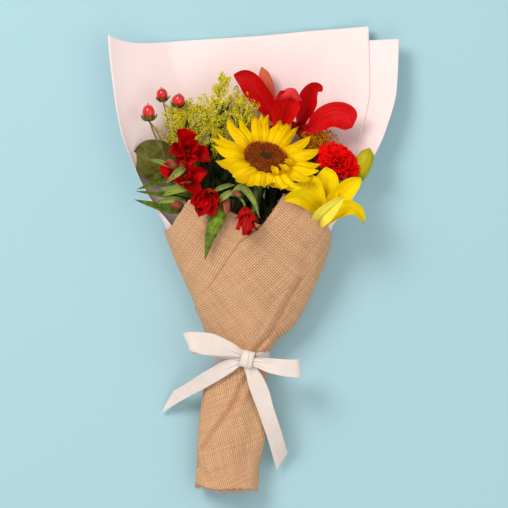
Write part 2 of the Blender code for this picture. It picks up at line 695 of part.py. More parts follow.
def build_stems(pieces, workshop, greens):
    """The stems of the flowers that have no function of their own."""
    stem = greens["stem"]

    def tube(name, points, radius, count):
        return add_stem(name, points, radius, stem, pieces, count=count)

    lily_neck = RED_LILY_END - RED_LILY_AXIS.normalized() * 12
    lily = tube(
        "lily_main",
        tied_stem((3.1, -8.7), [(8, -30, 11.5), (20, 40, 10.5), (33, 110, 10.5), lily_neck, RED_LILY_END]),
        4.0, 15,
    )
    bud_branch = tube("lily_side", [(35, 118, 10.5), (36, 134, 8.4), (29, 164, 8.6),
                                    (22, 185.6, 12.3)], 2.0, 6)
    unite("red_lily_stem", [lily, bud_branch], pieces, workshop)

    yellow_neck = YELLOW_LILY_END - YELLOW_LILY_AXIS.normalized() * 11
    yellow = tube(
        "yellow_main",
        tied_stem((3.8, 8.2), [(10, -60, 34), (38, -12, 38), yellow_neck, YELLOW_LILY_END]), 4.0, 17,
    )
    green_branch = tube("yellow_side", [(50, 4, 39.5), (76, 30, 37), (98, 58, 37), (112, 80, 38),
                                        (123.8, 94.4, 38.0)],
                        2.0, 7)
    unite("yellow_lily_stem", [yellow, green_branch], pieces, workshop)

    calyx_foot = CARNATION_BASE - CARNATION_AXIS * 7.1
    below = CARNATION_BASE - CARNATION_AXIS * 12.5
    tube("carnation_stem", tied_stem((11.6, 0.0), [(15, -60, 21), (44, 0, 21), (74, 54, 21),
                                                   (90, 90, 19.5), below,
                                                   calyx_foot]), 2.4, 21)

    first = tube(
        "first_main",
        tied_stem((-9.0, 8.5), [(-32, -60, 34), (-58, 20, 46), (-68, 70, 50), (-77, 108, 43),
                                (-79.2, 126.5, 43.4),
                                (-79, 128.8, 50.9)]),
        2.5, 21,
    )
    first_twigs = [
        tube("first_twig", [(-69, 74, 50), (-76, 86, 57), (-81.9, 98.9, 65.2)], 1.6, 5),
        tube("second_twig", [(-67, 64, 49.5), (-76, 62, 58), (-84.2, 62, 63.6)], 1.4, 5),
        tube("third_twig", [(-74.5, 98, 45.5), (-86, 102, 53), (-95.3, 105.4, 57.5)], 1.4, 5),
    ]
    unite("alstroemeria_stem_1", [first] + first_twigs, pieces, workshop)

    second = tube(
        "second_main",
        tied_stem((-3.4, 8.2), [(-17, -60, 34), (-34, 0, 47), (-43, 40, 58), (-48, 64, 66),
                                (-52.0, 80.4, 78.5),
                                (-52.9, 78.9, 87.4)]),
        2.5, 21,
    )
    second_side = tube(
        "second_side",
        [(-44, 48, 62), (-38, 66, 82), (-32, 73, 92), (-22, 75, 97), (-13.5, 69, 102.5), (-10.1, 62, 104)],
        1.6, 11,
    )
    unite("alstroemeria_stem_2", [second, second_side], pieces, workshop)

    berry_stem = tube(
        "berry_main",
        tied_stem((-8.3, 0.0), [(-30, -60, 24), (-72, 20, 34), (-96, 80, 45), (-107, 124, 51),
                                (-117, 144, 53),
                                (-125.0, 163.6, 53.9)]),
        2.0, 15,
    )
    berry_fork = tube("berry_fork", [(-97, 83, 45.2), (-96, 106, 28), (-101, 136, 18), (-104, 166, 26),
                                     (-109.1, 188.8, 43.2)], 1.2, 8)
    berry_twig = tube("berry_twig", [(-101, 136, 18), (-97, 150, 13), (-93, 170, 22),
                                     (-91, 182.1, 45.0)], 1.2, 6)
    unite("hypericum_stem", [berry_stem, berry_fork, berry_twig], pieces, workshop)


def build_sprays(pieces, greens):
    """Goldenrod: each spray is one stem that swells into its plume."""
    sprays = (
        # name, place in the bundle, route, share of the bare stem, stem radius, plume radius
        ("solidago_spray_1", (-11.5, -7.6), [(-36, -60, 14), (-62, 20, 13), (-76, 90, 16), (-78, 122, 25),
                                             (-78, 148, 29), (-77, 172, 33)], 0.80, 1.8, 15.0),
        ("solidago_spray_2", (-7.5, -8.9), [(-24, -60, 12), (-38, 20, 11), (-45, 100, 15), (-47, 140, 25),
                                            (-46, 180, 31), (-38, 220, 40)], 0.79, 1.8, 16.0),
        ("solidago_spray_3", (-3.4, -8.9), [(-12, -60, 12), (-12, 20, 11), (-13, 100, 13), (-16, 140, 18),
                                            (-17, 166, 25), (-18, 192, 33)], 0.82, 1.8, 12.0),
        ("bronze_spray", (6.8, -0.4), [(9, -60, 17), (34, 20, 18), (58, 84, 18), (66, 118, 23),
                                       (76, 140, 28), (92, 148, 31)], 0.86, 1.8, 9.5),
    )
    for name, offset, route, bare, radius, plume in sprays:
        def swell(along, bare=bare, radius=radius, plume=plume):
            if along <= bare:
                return 1.0
            t = (along - bare) / (1 - bare)
            return 1.0 + (plume / radius - 1.0) * math.sin(math.pi * min(1.0, t * 0.9 + 0.05)) ** 0.8

        floret = greens["bronze" if name == "bronze_spray" else "spray"]
        add_stem(name, tied_stem(offset, route), radius, floret, pieces, count=20, sides=2, swell=swell)


def build_yellow_lily(pieces, greens, yellow):
    petals = (
        # name, turn round the stem, spine, side directions, width
        ("yellow_lily_petal_1", 180, [(82, 56, 55.5), (87, 73, 59), (89, 90, 62), (88, 107, 63)],
         [(1, 0, 0), (1, 0, 0), (1, 0, 0), (1, 0, 0)], 24),
        ("yellow_lily_petal_2", 240, [(69, 52, 60), (64, 68, 66), (60, 84, 68), (58, 97, 66)],
         [(1, 0.2, 0), (1, 0.2, 0), (1, 0.2, 0), (1, 0.1, 0)], 24),
        ("yellow_lily_petal_3", 120, [(95, 57, 61), (107, 70, 68), (118, 83, 70), (129, 94, 68)],
         [(0.7, -0.7, 0), (0.7, -0.7, 0), (0.7, -0.7, 0), (0.7, -0.7, 0)], 20),
        ("yellow_lily_petal_4", 0, [(82, 59, 66), (90, 65, 77), (99, 69, 86), (108, 73, 92)],
         [(0.7, -0.6, 0), (0.7, -0.6, 0), (0.7, -0.6, 0), (0.7, -0.6, 0)], 16),
        ("yellow_lily_petal_5", 60, [(91, 57.5, 65), (102, 62, 75), (113, 62, 80), (125, 57, 76),
                                     (132, 44, 66)],
         [(0.5, -0.7, 0), (0.3, -0.9, 0), (0, -1, 0), (-0.5, -0.8, 0), (-0.9, -0.3, 0)], 15),
        ("yellow_lily_petal_6", 300, [(71, 59, 65), (67, 71, 75), (62, 79.5, 85), (55, 76.5, 91.5),
                                      (47, 70, 96.5), (38, 67, 98.5)],
         [(0.8, 0.5, 0), (0.7, 0.6, 0), (0.5, 0.8, 0), (0.3, 0.9, 0), (0.2, 1, 0), (0.1, 1, 0)], 15),
    )
    add_lily(petals, YELLOW_LILY_END, YELLOW_LILY_AXIS, 1.5, yellow, pieces)
    add_stem("lily_green_bud", [(124.6, 95.6, 38.3), (130, 107, 40), (134, 119, 42), (137, 131, 44)], 6.8,
             greens["bud"], pieces, count=8, sides=2, swell=bud_swell)


def build_carnation(pieces, greens, crimson):
    add_turned("carnation_calyx", [(0.0, 11.0), (5.6, 11.0), (6.4, 8.0), (5.8, 0.0), (3.6, -6.0),
                                   (0.0, -6.6)], 10,
               CARNATION_BASE, CARNATION_AXIS, greens["stem"], pieces)
    bm = bmesh.new()
    bmesh.ops.create_icosphere(bm, subdivisions=3, radius=1.0)
    turn = Vector((0, 0, 1)).rotation_difference(CARNATION_AXIS)
    middle = CARNATION_BASE + CARNATION_AXIS * (11.5 + CARNATION_UNDERSIDE)
    for vertex in bm.verts:
        direction = vertex.co.normalized()
        angle = math.atan2(direction.y, direction.x)
        ruffle = 1 + 0.05 * math.sin(9 * angle + 4 * direction.z) * (1 - abs(direction.z))
        depth = CARNATION_DOME if direction.z > 0 else CARNATION_UNDERSIDE
        across, ahead = CARNATION_RADII
        local = Vector((direction.x * across * ruffle, direction.y * ahead * ruffle, direction.z * depth))
        vertex.co = (middle + turn @ local) * MM
    add_mesh("carnation_bloom", bm, crimson, pieces)


def build_alstroemeria(pieces, deep_red, bud_red):
    blooms = (
        # name, base, axis, length, spread, height
        ("alstroemeria_bloom_1", (-79, 129.2, 52), (0.02, 0.3, 0.95), 22.0, 13.0),
        ("alstroemeria_bloom_2", (-82, 99, 66.8), (-0.05, 0.05, 1.0), 18.5, 9.0),
        ("alstroemeria_bloom_3", (-53, 78.5, 88.5), (-0.1, -0.35, 0.93), 17.0, 10.0),
        ("alstroemeria_bloom_4", (-10, 61.2, 104), (0.08, -1.0, 0.02), 12.5, 33.0),
    )
    for name, base, axis, spread, height in blooms:
        def shape(along, angle, spread=spread, height=height):
            radius = 2.0 + (spread - 2.0) * along ** 0.8
            half = 1.0 + 0.42 * spread * math.sin(math.pi * min(1.0, 0.1 + along * 0.95))
            return radius, height * along ** 1.2, half
        add_whorl(name, base, axis, (0, 0.3, 1), 6, 4, shape, deep_red, pieces, 0.3)
    buds = (
        # name, route from base to tip, radius
        ("alstroemeria_bud_1", [(-96.1, 105.8, 57.8), (-100, 109, 60), (-103, 115, 62)], 4.6),
        ("alstroemeria_bud_2", [(-84.9, 62.1, 64.0), (-92, 63.5, 66.5), (-101, 66, 67)], 5.6),
        ("alstroemeria_bud_3", [(-32.2, 71.3, 93.9), (-32, 62, 98.5), (-32, 51, 101)], 4.8),
        ("alstroemeria_bud_4", [(-22, 77.4, 100.2), (-20, 77, 105), (-15, 73, 110)], 3.4),
    )
    for name, route, radius in buds:
        add_stem(name, route, radius, bud_red, pieces, count=7, sides=2, swell=bud_swell)


def build_leaves(pieces, greens):
    leaves = (
        # name, spine, side directions, width
        ("alstroemeria_leaf_1", [(-88, 103.4, 56.6), (-103, 98, 60), (-121, 89, 64), (-140, 82, 67)],
         [(0, 1, 0)] * 4, 9),
        ("alstroemeria_leaf_2", [(-70.8, 70.6, 51.8), (-92, 74, 56), (-116, 77, 60), (-141, 80, 61)],
         [(0, 1, 0)] * 4, 8),
        ("alstroemeria_leaf_3", [(-69.2, 58.5, 50.0), (-92, 59, 54), (-116, 63, 61), (-143, 70, 65)],
         [(0, 1, 0)] * 4, 12),
        ("alstroemeria_leaf_4", [(-72.8, 76, 50.2), (-82, 80, 59), (-96, 83, 65), (-112, 81, 68)],
         [(0.1, 1, 0)] * 4, 11),
        ("alstroemeria_leaf_5", [(-83.0, 96.6, 62.2), (-93, 96, 62.5), (-100, 93, 64), (-106, 88, 66)],
         [(-0.3, 1, 0)] * 4, 7),
        ("alstroemeria_leaf_6", [(-39.6, 66.6, 86.5), (-42, 54, 95), (-51, 28, 91), (-57, -1, 79)],
         [(1, 0, 0.1)] * 4, 14),
        ("alstroemeria_leaf_7", [(-27.5, 76.6, 96.0), (-14, 84, 98), (-1, 69, 104), (7, 48, 104)],
         [(0, 1, 0), (0.3, 1, 0), (0.7, 0.6, 0), (1, 0.3, 0)], 9),
        ("salal_leaf", [(-101, 97, 34), (-111, 105, 36), (-120, 118, 39), (-125, 134, 41), (-122, 147, 42)],
         [(1, 0.7, -0.4), (1, 0.6, -0.45), (1, 0.4, -0.5), (1, 0.2, -0.5), (1, 0, -0.5)], 42),
    )
    for name, spine, sides, width in leaves:
        big = name == "salal_leaf"
        add_petal(name, spine, sides, width, greens["salal" if big else "leaf"], pieces, base=0.12,
                  widest=0.5 if big else 0.4, cup=0.08, rows=6 if big else 5, columns=6 if big else 2,
                  thickness=0.9 if big else 0.7)
    stalk = tied_stem((-12.4, 0.0), [(-38, -60, 22), (-76, 20, 26), (-95, 74, 30), (-100.5, 96.2, 33.6)])
    add_stem("salal_stalk", stalk, 1.5, greens["stem"], pieces)


def build_berries(pieces, greens, berry_red):
    berries = (
        # name, centre, radii, direction of the tip
        ("hypericum_berry_1", (-126, 175, 55), (7.6, 9.4), (-0.08, 1.0, 0.1)),
        ("hypericum_berry_2", (-110, 197, 47), (6.9, 7.6), (-0.1, 0.9, 0.4)),
        ("hypericum_berry_3", (-90, 190, 50), (7.5, 7.8), (0.1, 0.8, 0.5)),
    )
    for name, centre, radii, axis in berries:
        add_ball(name, centre, radii, axis, berry_red, pieces)
        direction = Vector(axis).normalized()
        clear = CALYX_GAP
        bottom = Vector(centre) - direction * (radii[1] + clear)

        def shape(along, angle, radii=radii, clear=clear):
            bend = math.radians(9.0 + 62.0 * along)
            radius = (radii[0] + clear) * math.sin(bend)
            height = (radii[1] + clear) * (1 - math.cos(bend))
            return radius, height, 0.6 + 3.0 * math.sin(math.pi * min(1.0, 0.1 + along * 0.85))

        add_whorl(name.replace("berry", "calyx"), bottom, axis, (0, 0, 1), 5, 2, shape,
                  greens["leaf"], pieces, 0.3)


def main():
    pieces, workshop = start_collections()
    greens = {
        "stem": finish("green stem", (0.16, 0.27, 0.06), 0.55),
        "leaf": finish("soft green leaf", (0.14, 0.26, 0.05), 0.5),
        "salal": finish("dark leathery leaf", (0.10, 0.13, 0.04), 0.4),
        "spray": finish("yellow green floret", (0.52, 0.50, 0.06), 0.7),
        "bronze": finish("bronze floret", (0.23, 0.09, 0.01), 0.7),
        "bud": finish("olive bud", (0.45, 0.42, 0.05), 0.45),
    }
    build_burlap(pieces, finish("jute burlap", (0.58, 0.32, 0.16), 0.95))
    build_paper(pieces, finish("blush paper", (0.93, 0.78, 0.76), 0.8))
    build_ribbon(pieces, workshop, finish("cream satin", (0.87, 0.80, 0.72), 0.4))
    build_twine(pieces, finish("natural twine", (0.45, 0.33, 0.19), 0.9))
    petal_yellow = finish("yellow ray petal", (0.98, 0.62, 0.01), 0.5)
    build_sunflower(pieces, greens, petal_yellow, finish("brown seed disc", (0.20, 0.05, 0.02), 0.8))
    rust = finish("rust bud", (0.55, 0.16, 0.06), 0.5)
    build_red_lily(pieces, finish("red petal", (0.70, 0.02, 0.02), 0.45), rust)
    build_yellow_lily(pieces, greens, finish("lemon petal", (0.95, 0.66, 0.01), 0.45))
    build_carnation(pieces, greens, finish("crimson bloom", (0.55, 0.0, 0.0), 0.7))
    striped = finish("striped bud", (0.42, 0.13, 0.10), 0.5)
    build_alstroemeria(pieces, finish("deep red petal", (0.42, 0.0, 0.01), 0.5), striped)
    build_stems(pieces, workshop, greens)
    build_sprays(pieces, greens)
    build_leaves(pieces, greens)
    build_berries(pieces, greens, finish("glossy red berry", (0.75, 0.03, 0.03), 0.2))


main()
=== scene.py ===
import math
import random

import bpy
from mathutils import Matrix, Vector, noise


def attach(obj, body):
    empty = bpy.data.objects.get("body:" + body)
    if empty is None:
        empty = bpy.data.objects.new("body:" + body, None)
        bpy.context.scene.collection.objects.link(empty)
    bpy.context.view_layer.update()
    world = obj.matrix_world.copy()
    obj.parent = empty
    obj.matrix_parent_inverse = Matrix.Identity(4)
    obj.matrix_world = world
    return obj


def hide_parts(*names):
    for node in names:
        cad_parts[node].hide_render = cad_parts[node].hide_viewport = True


# A wrapped hand bouquet lying on its back: heads towards +Y, foot towards -Y.
# Places below are in millimetres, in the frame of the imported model.

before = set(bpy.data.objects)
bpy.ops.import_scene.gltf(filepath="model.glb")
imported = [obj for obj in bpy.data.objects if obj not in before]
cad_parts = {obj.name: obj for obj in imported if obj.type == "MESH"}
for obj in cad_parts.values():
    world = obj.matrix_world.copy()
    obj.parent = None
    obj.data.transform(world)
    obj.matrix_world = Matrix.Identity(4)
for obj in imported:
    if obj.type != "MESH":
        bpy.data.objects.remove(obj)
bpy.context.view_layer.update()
mm = 0.001
print("frame loaded:", len(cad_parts), "nodes")


def srgb(red, green, blue):  # a colour as read off a screen, made linear
    def line(value):
        value = value / 255
        return value / 12.92 if value <= 0.04045 else ((value + 0.055) / 1.055) ** 2.4
    return (line(red), line(green), line(blue), 1.0)


# ---- camera, floor and light ----

cameraSetup = {"height": 4.06, "x": 0.0006, "y": 0.0048, "lens": 236.2}
studio = {
    "floor": srgb(170, 206, 216), "floorShade": srgb(165, 203, 213),
    "fill": 0.52,  # strength of the soft light from all round
    "lamps": [
        # name, place in metres, size in metres, power in watts
        ("keyLamp", (-1.5, 1.5, 2.3), 1.3, 58.0),
        ("sideLamp", (1.6, -0.2, 2.4), 2.0, 16.0),
        ("footLamp", (0.2, -1.8, 2.0), 1.8, 10.0),
    ],
}


def placeCamera():
    data = bpy.data.cameras.new("photoCamera")
    data.sensor_width = 36.0
    data.lens = cameraSetup["lens"]
    data.clip_end = 30.0
    data.dof.use_dof = False
    camera = bpy.data.objects.new("photoCamera", data)
    camera.location = (cameraSetup["x"], cameraSetup["y"], cameraSetup["height"])
    bpy.context.collection.objects.link(camera)
    bpy.context.scene.camera = camera


def lightStudio():
    world = bpy.data.worlds.new("softRoom")
    world.use_nodes = True
    world.node_tree.nodes["Background"].inputs["Color"].default_value = (1.0, 0.985, 0.97, 1.0)
    world.node_tree.nodes["Background"].inputs["Strength"].default_value = studio["fill"]
    bpy.context.scene.world = world
    for name, place, size, power in studio["lamps"]:
        data = bpy.data.lights.new(name, "AREA")
        data.size = size
        data.energy = power
        data.color = (1.0, 0.98, 0.95)
        lamp = bpy.data.objects.new(name, data)
        lamp.location = place
        lamp.rotation_euler = (Vector((0, 0, 0.05)) - Vector(place)).to_track_quat("-Z", "Y").to_euler()
        bpy.context.collection.objects.link(lamp)


placeCamera()
lightStudio()
bpy.context.scene.view_settings.view_transform = "Standard"
print("camera and lamps placed")


# ---- node helpers and the groups shared by the finishes ----

def feed(tree, node, values):  # numbers and colours are set, sockets are linked
    for title, value in values.items():
        if hasattr(value, "is_linked"):
            tree.links.new(value, node.inputs[title])
        else:
            node.inputs[title].default_value = value


def calc(tree, operation, first, second=0.5, clamp=False):
    node = tree.nodes.new("ShaderNodeMath")
    node.operation = operation
    node.use_clamp = clamp
    feed(tree, node, {0: first, 1: second})
    return node.outputs[0]


def times(tree, first, second, clamp=False):
    return calc(tree, "MULTIPLY", first, second, clamp)


def plus(tree, first, second):
    return calc(tree, "ADD", first, second)


def minus(tree, first, second, clamp=False):
    return calc(tree, "SUBTRACT", first, second, clamp)


def blendColour(tree, factor, low, high):
    node = tree.nodes.new("ShaderNodeMix")
    node.data_type = "RGBA"
    feed(tree, node, {0: factor, 6: low, 7: high})
    return node.outputs[2]


def splitPlace(tree, vector):
    node = tree.nodes.new("ShaderNodeSeparateXYZ")
    tree.links.new(vector, node.inputs[0])
    return node.outputs[0], node.outputs[1]


def joinPlace(tree, across, along):
    node = tree.nodes.new("ShaderNodeCombineXYZ")
    feed(tree, node, {0: across, 1: along})
    return node.outputs[0]


def noiseAt(tree, vector, scale, detail):
    node = tree.nodes.new("ShaderNodeTexNoise")
    feed(tree, node, {"Vector": vector, "Scale": scale, "Detail": detail, "Roughness": 0.55})
    return node.outputs["Fac"]


def stretchRange(tree, value, low, high):  # low and high of the value become 0 and 1
    node = tree.nodes.new("ShaderNodeMapRange")
    feed(tree, node, {"Value": value, "From Min": low, "From Max": high})
    return node.outputs["Result"]


def newGroup(name, place, settings, outputs):  # place is the vector input, the settings are numbers
    group = bpy.data.node_groups.new(name, "ShaderNodeTree")
    group.interface.new_socket(place, in_out="INPUT", socket_type="NodeSocketVector")
    for title, value in settings.items():
        socket = group.interface.new_socket(title, in_out="INPUT", socket_type="NodeSocketFloat")
        socket.default_value = value
    for title in outputs:
        group.interface.new_socket(title, in_out="OUTPUT", socket_type="NodeSocketFloat")
    return group, group.nodes.new("NodeGroupInput").outputs, group.nodes.new("NodeGroupOutput")


def midribOf(tree, across, narrow):  # 1 along the middle line, 0 beside it
    offset = calc(tree, "ABSOLUTE", minus(tree, across, 0.5))
    return offset, minus(tree, 1.0, times(tree, offset, narrow), clamp=True)


def makePetalVeins():
    tree, given, out = newGroup("petal veins", "UV", {"Lines": 34.0, "Length": 2.2},
                                ["Streak", "Midrib", "Height"])
    across, along = splitPlace(tree, given["UV"])
    lines = joinPlace(tree, times(tree, across, given["Lines"]), times(tree, along, given["Length"]))
    streak = stretchRange(tree, noiseAt(tree, lines, 1.0, 2.0), 0.32, 0.68)
    midrib = midribOf(tree, across, 11.0)[1]
    feed(tree, out, {"Streak": streak, "Midrib": midrib,
                     "Height": minus(tree, streak, times(tree, midrib, 0.8))})
    return tree


def makeLeafVeins():
    tree, given, out = newGroup("leaf veins", "UV", {"Pairs": 9.0, "Slant": 1.2},
                                ["Vein", "Midrib", "Height"])
    across, along = splitPlace(tree, given["UV"])
    offset, midrib = midribOf(tree, across, 16.0)
    climb = minus(tree, along, times(tree, offset, given["Slant"]))
    wave = calc(tree, "SINE", times(tree, times(tree, climb, given["Pairs"]), 6.2832))
    height = minus(tree, times(tree, wave, -0.5), times(tree, midrib, 1.2))
    feed(tree, out, {"Vein": stretchRange(tree, wave, 0.86, 1.0), "Midrib": midrib, "Height": height})
    return tree


def makeSoftMottle():
    tree, given, out = newGroup("soft mottle", "Position", {"Size": 120.0, "Low": 0.35, "High": 0.65},
                                ["Mask", "Height"])
    broad = noiseAt(tree, given["Position"], given["Size"], 4.0)
    fine = noiseAt(tree, given["Position"], times(tree, given["Size"], 7.0), 2.0)
    feed(tree, out, {"Mask": stretchRange(tree, broad, given["Low"], given["High"]),
                     "Height": plus(tree, broad, times(tree, fine, 0.4))})
    return tree


def threadRound(tree, count):  # one rounded hump for each thread
    return calc(tree, "ABSOLUTE", calc(tree, "SINE", times(tree, count, math.pi)))


def threadTop(tree, thread, crossing):
    return times(tree, calc(tree, "POWER", thread, 0.6), plus(tree, times(tree, crossing, 0.6), 0.4))


def overUnder(tree, over, first, second):
    return plus(tree, times(tree, first, over), times(tree, second, minus(tree, 1.0, over)))


def makePlainWeave():
    tree, given, out = newGroup("plain weave", "UV", {"Warp": 500.0, "Weft": 500.0, "Slub": 0.3},
                                ["Height", "Gap", "Thread tone"])
    wobble = minus(tree, noiseAt(tree, given["UV"], 60.0, 2.0), 0.5)
    drift = times(tree, wobble, times(tree, given["Slub"], 0.006))
    x, y = splitPlace(tree, given["UV"])
    across = times(tree, plus(tree, x, drift), given["Warp"])
    along = times(tree, minus(tree, y, drift), given["Weft"])
    warp, weft = threadRound(tree, across), threadRound(tree, along)
    over = calc(tree, "PINGPONG", plus(tree, calc(tree, "FLOOR", across), calc(tree, "FLOOR", along)), 1.0)
    height = overUnder(tree, over, threadTop(tree, warp, weft), threadTop(tree, weft, warp))
    gap = minus(tree, 1.0, stretchRange(tree, calc(tree, "MAXIMUM", warp, weft), 0.22, 0.55), clamp=True)
    threads = joinPlace(tree, times(tree, x, given["Warp"]), times(tree, y, times(tree, given["Weft"], 0.04)))
    picks = joinPlace(tree, times(tree, x, times(tree, given["Warp"], 0.04)), times(tree, y, given["Weft"]))
    tone = overUnder(tree, over, noiseAt(tree, threads, 0.8, 1.0), noiseAt(tree, picks, 0.8, 1.0))
    feed(tree, out, {"Height": minus(tree, height, gap), "Gap": gap,
                     "Thread tone": stretchRange(tree, tone, 0.3, 0.7)})
    return tree


petalVeins = makePetalVeins()
leafVeins = makeLeafVeins()
softMottle = makeSoftMottle()
plainWeave = makePlainWeave()


def useGroup(tree, group, values):
    node = tree.nodes.new("ShaderNodeGroup")
    node.node_tree = group
    feed(tree, node, values)
    return node.outputs


# ---- finishes ----

def newFinish(name, roughness, specular=0.5, sheen=0.0, coat=0.0):
    material = bpy.data.materials.new(name)
    material.use_nodes = True
    tree = material.node_tree
    shader = tree.nodes["Principled BSDF"]
    feed(tree, shader, {"Roughness": roughness, "Specular IOR Level": specular, "Sheen Weight": sheen,
                        "Coat Weight": coat, "Coat Roughness": 0.15})
    return material, tree, shader


def uvOf(tree):
    return tree.nodes.new("ShaderNodeUVMap").outputs["UV"]


def mottleOf(tree, size, low=0.35, high=0.65):
    place = tree.nodes.new("ShaderNodeTexCoord").outputs["Object"]
    return useGroup(tree, softMottle, {"Position": place, "Size": size, "Low": low, "High": high})


def weaveOf(tree, look, slub):
    return useGroup(tree, plainWeave, {"UV": uvOf(tree), "Warp": look["warp"], "Weft": look["weft"],
                                       "Slub": slub})


def blendShare(tree, mask, share, low, high):
    return blendColour(tree, times(tree, mask, share), low, high)


def toneOf(tree):  # each petal or floret has its own tone, 0 to 1
    node = tree.nodes.new("ShaderNodeAttribute")
    node.attribute_name = "tone"
    return node.outputs["Fac"]


def finishOff(tree, shader, colour, mask, swing, lowest, height, relief, strength=1.0):
    bump = tree.nodes.new("ShaderNodeBump")
    feed(tree, bump, {"Height": height, "Distance": relief, "Strength": strength})
    feed(tree, shader, {"Base Color": colour, "Roughness": plus(tree, times(tree, mask, swing), lowest),
                        "Normal": bump.outputs["Normal"]})


def petalFinish(name, look):
    material, tree, shader = newFinish(name, look["roughness"], look.get("specular", 0.18))
    uv = uvOf(tree)
    veins = useGroup(tree, petalVeins, {"UV": uv, "Lines": look["lines"], "Length": 2.0})
    along = splitPlace(tree, uv)[1]
    streaked = blendShare(tree, veins["Streak"], look["streak"], look["light"], look["deep"])
    near = minus(tree, 1.0, stretchRange(tree, along, 0.0, look["baseReach"]), clamp=True)
    based = blendColour(tree, near, streaked, look["base"])
    far = times(tree, stretchRange(tree, along, 0.75, 1.05), look.get("tipShare", 0.0), clamp=True)
    tipped = blendColour(tree, far, based, look.get("tip", look["light"]))
    ribbed = blendShare(tree, veins["Midrib"], look.get("ribShare", 0.3), tipped,
                        look.get("rib", look["deep"]))
    patches = mottleOf(tree, 90.0)
    uneven = plus(tree, times(tree, patches["Mask"], 0.4), times(tree, toneOf(tree), 0.6))
    shaded = blendShare(tree, minus(tree, 1.0, uneven), look["shade"], ribbed, look["shadow"])
    finishOff(tree, shader, shaded, veins["Streak"], 0.12, look["roughness"] - 0.06, veins["Height"],
              look["relief"])
    return material


def leafFinish(name, look):
    material, tree, shader = newFinish(name, look["roughness"], 0.25, 0.03)
    veins = useGroup(tree, leafVeins, {"UV": uvOf(tree), "Pairs": look["pairs"], "Slant": look["slant"]})
    patches = mottleOf(tree, 140.0)
    body = blendColour(tree, patches["Mask"], look["deep"], look["light"])
    toned = blendShare(tree, toneOf(tree), 0.7, body, look["light"])
    veined = blendShare(tree, veins["Vein"], look["veinShare"], toned, look["vein"])
    ribbed = blendShare(tree, veins["Midrib"], 0.6, veined, look["vein"])
    finishOff(tree, shader, ribbed, patches["Height"], 0.2, look["roughness"] - 0.1, veins["Height"],
              look["relief"])
    return material


def mottledFinish(name, look):
    material, tree, shader = newFinish(name, look["roughness"], look.get("specular", 0.4), 0.0,
                                       look.get("coat", 0.0))
    patches = mottleOf(tree, look["size"], 0.38, 0.62)
    body = blendColour(tree, patches["Mask"], look["deep"], look["light"])
    toned = blendShare(tree, toneOf(tree), look.get("toneShare", 0.6), body,
                       look.get("bright", look["light"]))
    finishOff(tree, shader, toned, patches["Mask"], 0.15, look["roughness"] - 0.08, patches["Height"],
              look["relief"])
    return material


def weaveFinish(name, look):
    material, tree, shader = newFinish(name, look["roughness"], 0.2, look["sheen"])
    weave = weaveOf(tree, look, look["slub"])
    patches = mottleOf(tree, look["patch"])
    thread = blendColour(tree, weave["Thread tone"], look["deep"], look["light"])
    patched = blendShare(tree, patches["Mask"], look["patchShare"], thread, look["bright"])
    # painted shade: the gaps between threads are coloured dark brown where shade falls through the weave
    gapShaded = blendShare(tree, weave["Gap"], look["gapShadeShare"], patched, look["gap"])
    finishOff(tree, shader, gapShaded, weave["Thread tone"], 0.1, look["roughness"] - 0.05, weave["Height"],
              look["relief"])
    return material


def satinFinish(name, look):
    material, tree, shader = newFinish(name, look["roughness"], 0.5, 0.3)
    weave = weaveOf(tree, look, 0.05)
    patches = mottleOf(tree, 60.0)
    thread = blendColour(tree, weave["Thread tone"], look["deep"], look["light"])
    shaded = blendShare(tree, patches["Mask"], 0.35, thread, look["shade"])
    shader.inputs["Anisotropic"].default_value = 0.4
    finishOff(tree, shader, shaded, weave["Thread tone"], 0.12, look["roughness"] - 0.06, weave["Height"],
              0.00006, 0.6)
    return material


def paperFinish(name, look):
    material, tree, shader = newFinish(name, look["roughness"], 0.3, 0.05)
    fibre, cloud = mottleOf(tree, 420.0, 0.3, 0.7), mottleOf(tree, 14.0, 0.3, 0.7)
    body = blendShare(tree, fibre["Mask"], 0.5, look["light"], look["deep"])
    clouded = blendShare(tree, cloud["Mask"], 0.45, body, look["shade"])
    finishOff(tree, shader, clouded, fibre["Mask"], 0.1, look["roughness"] - 0.05, fibre["Height"],
              0.00012, 0.7)
    return material


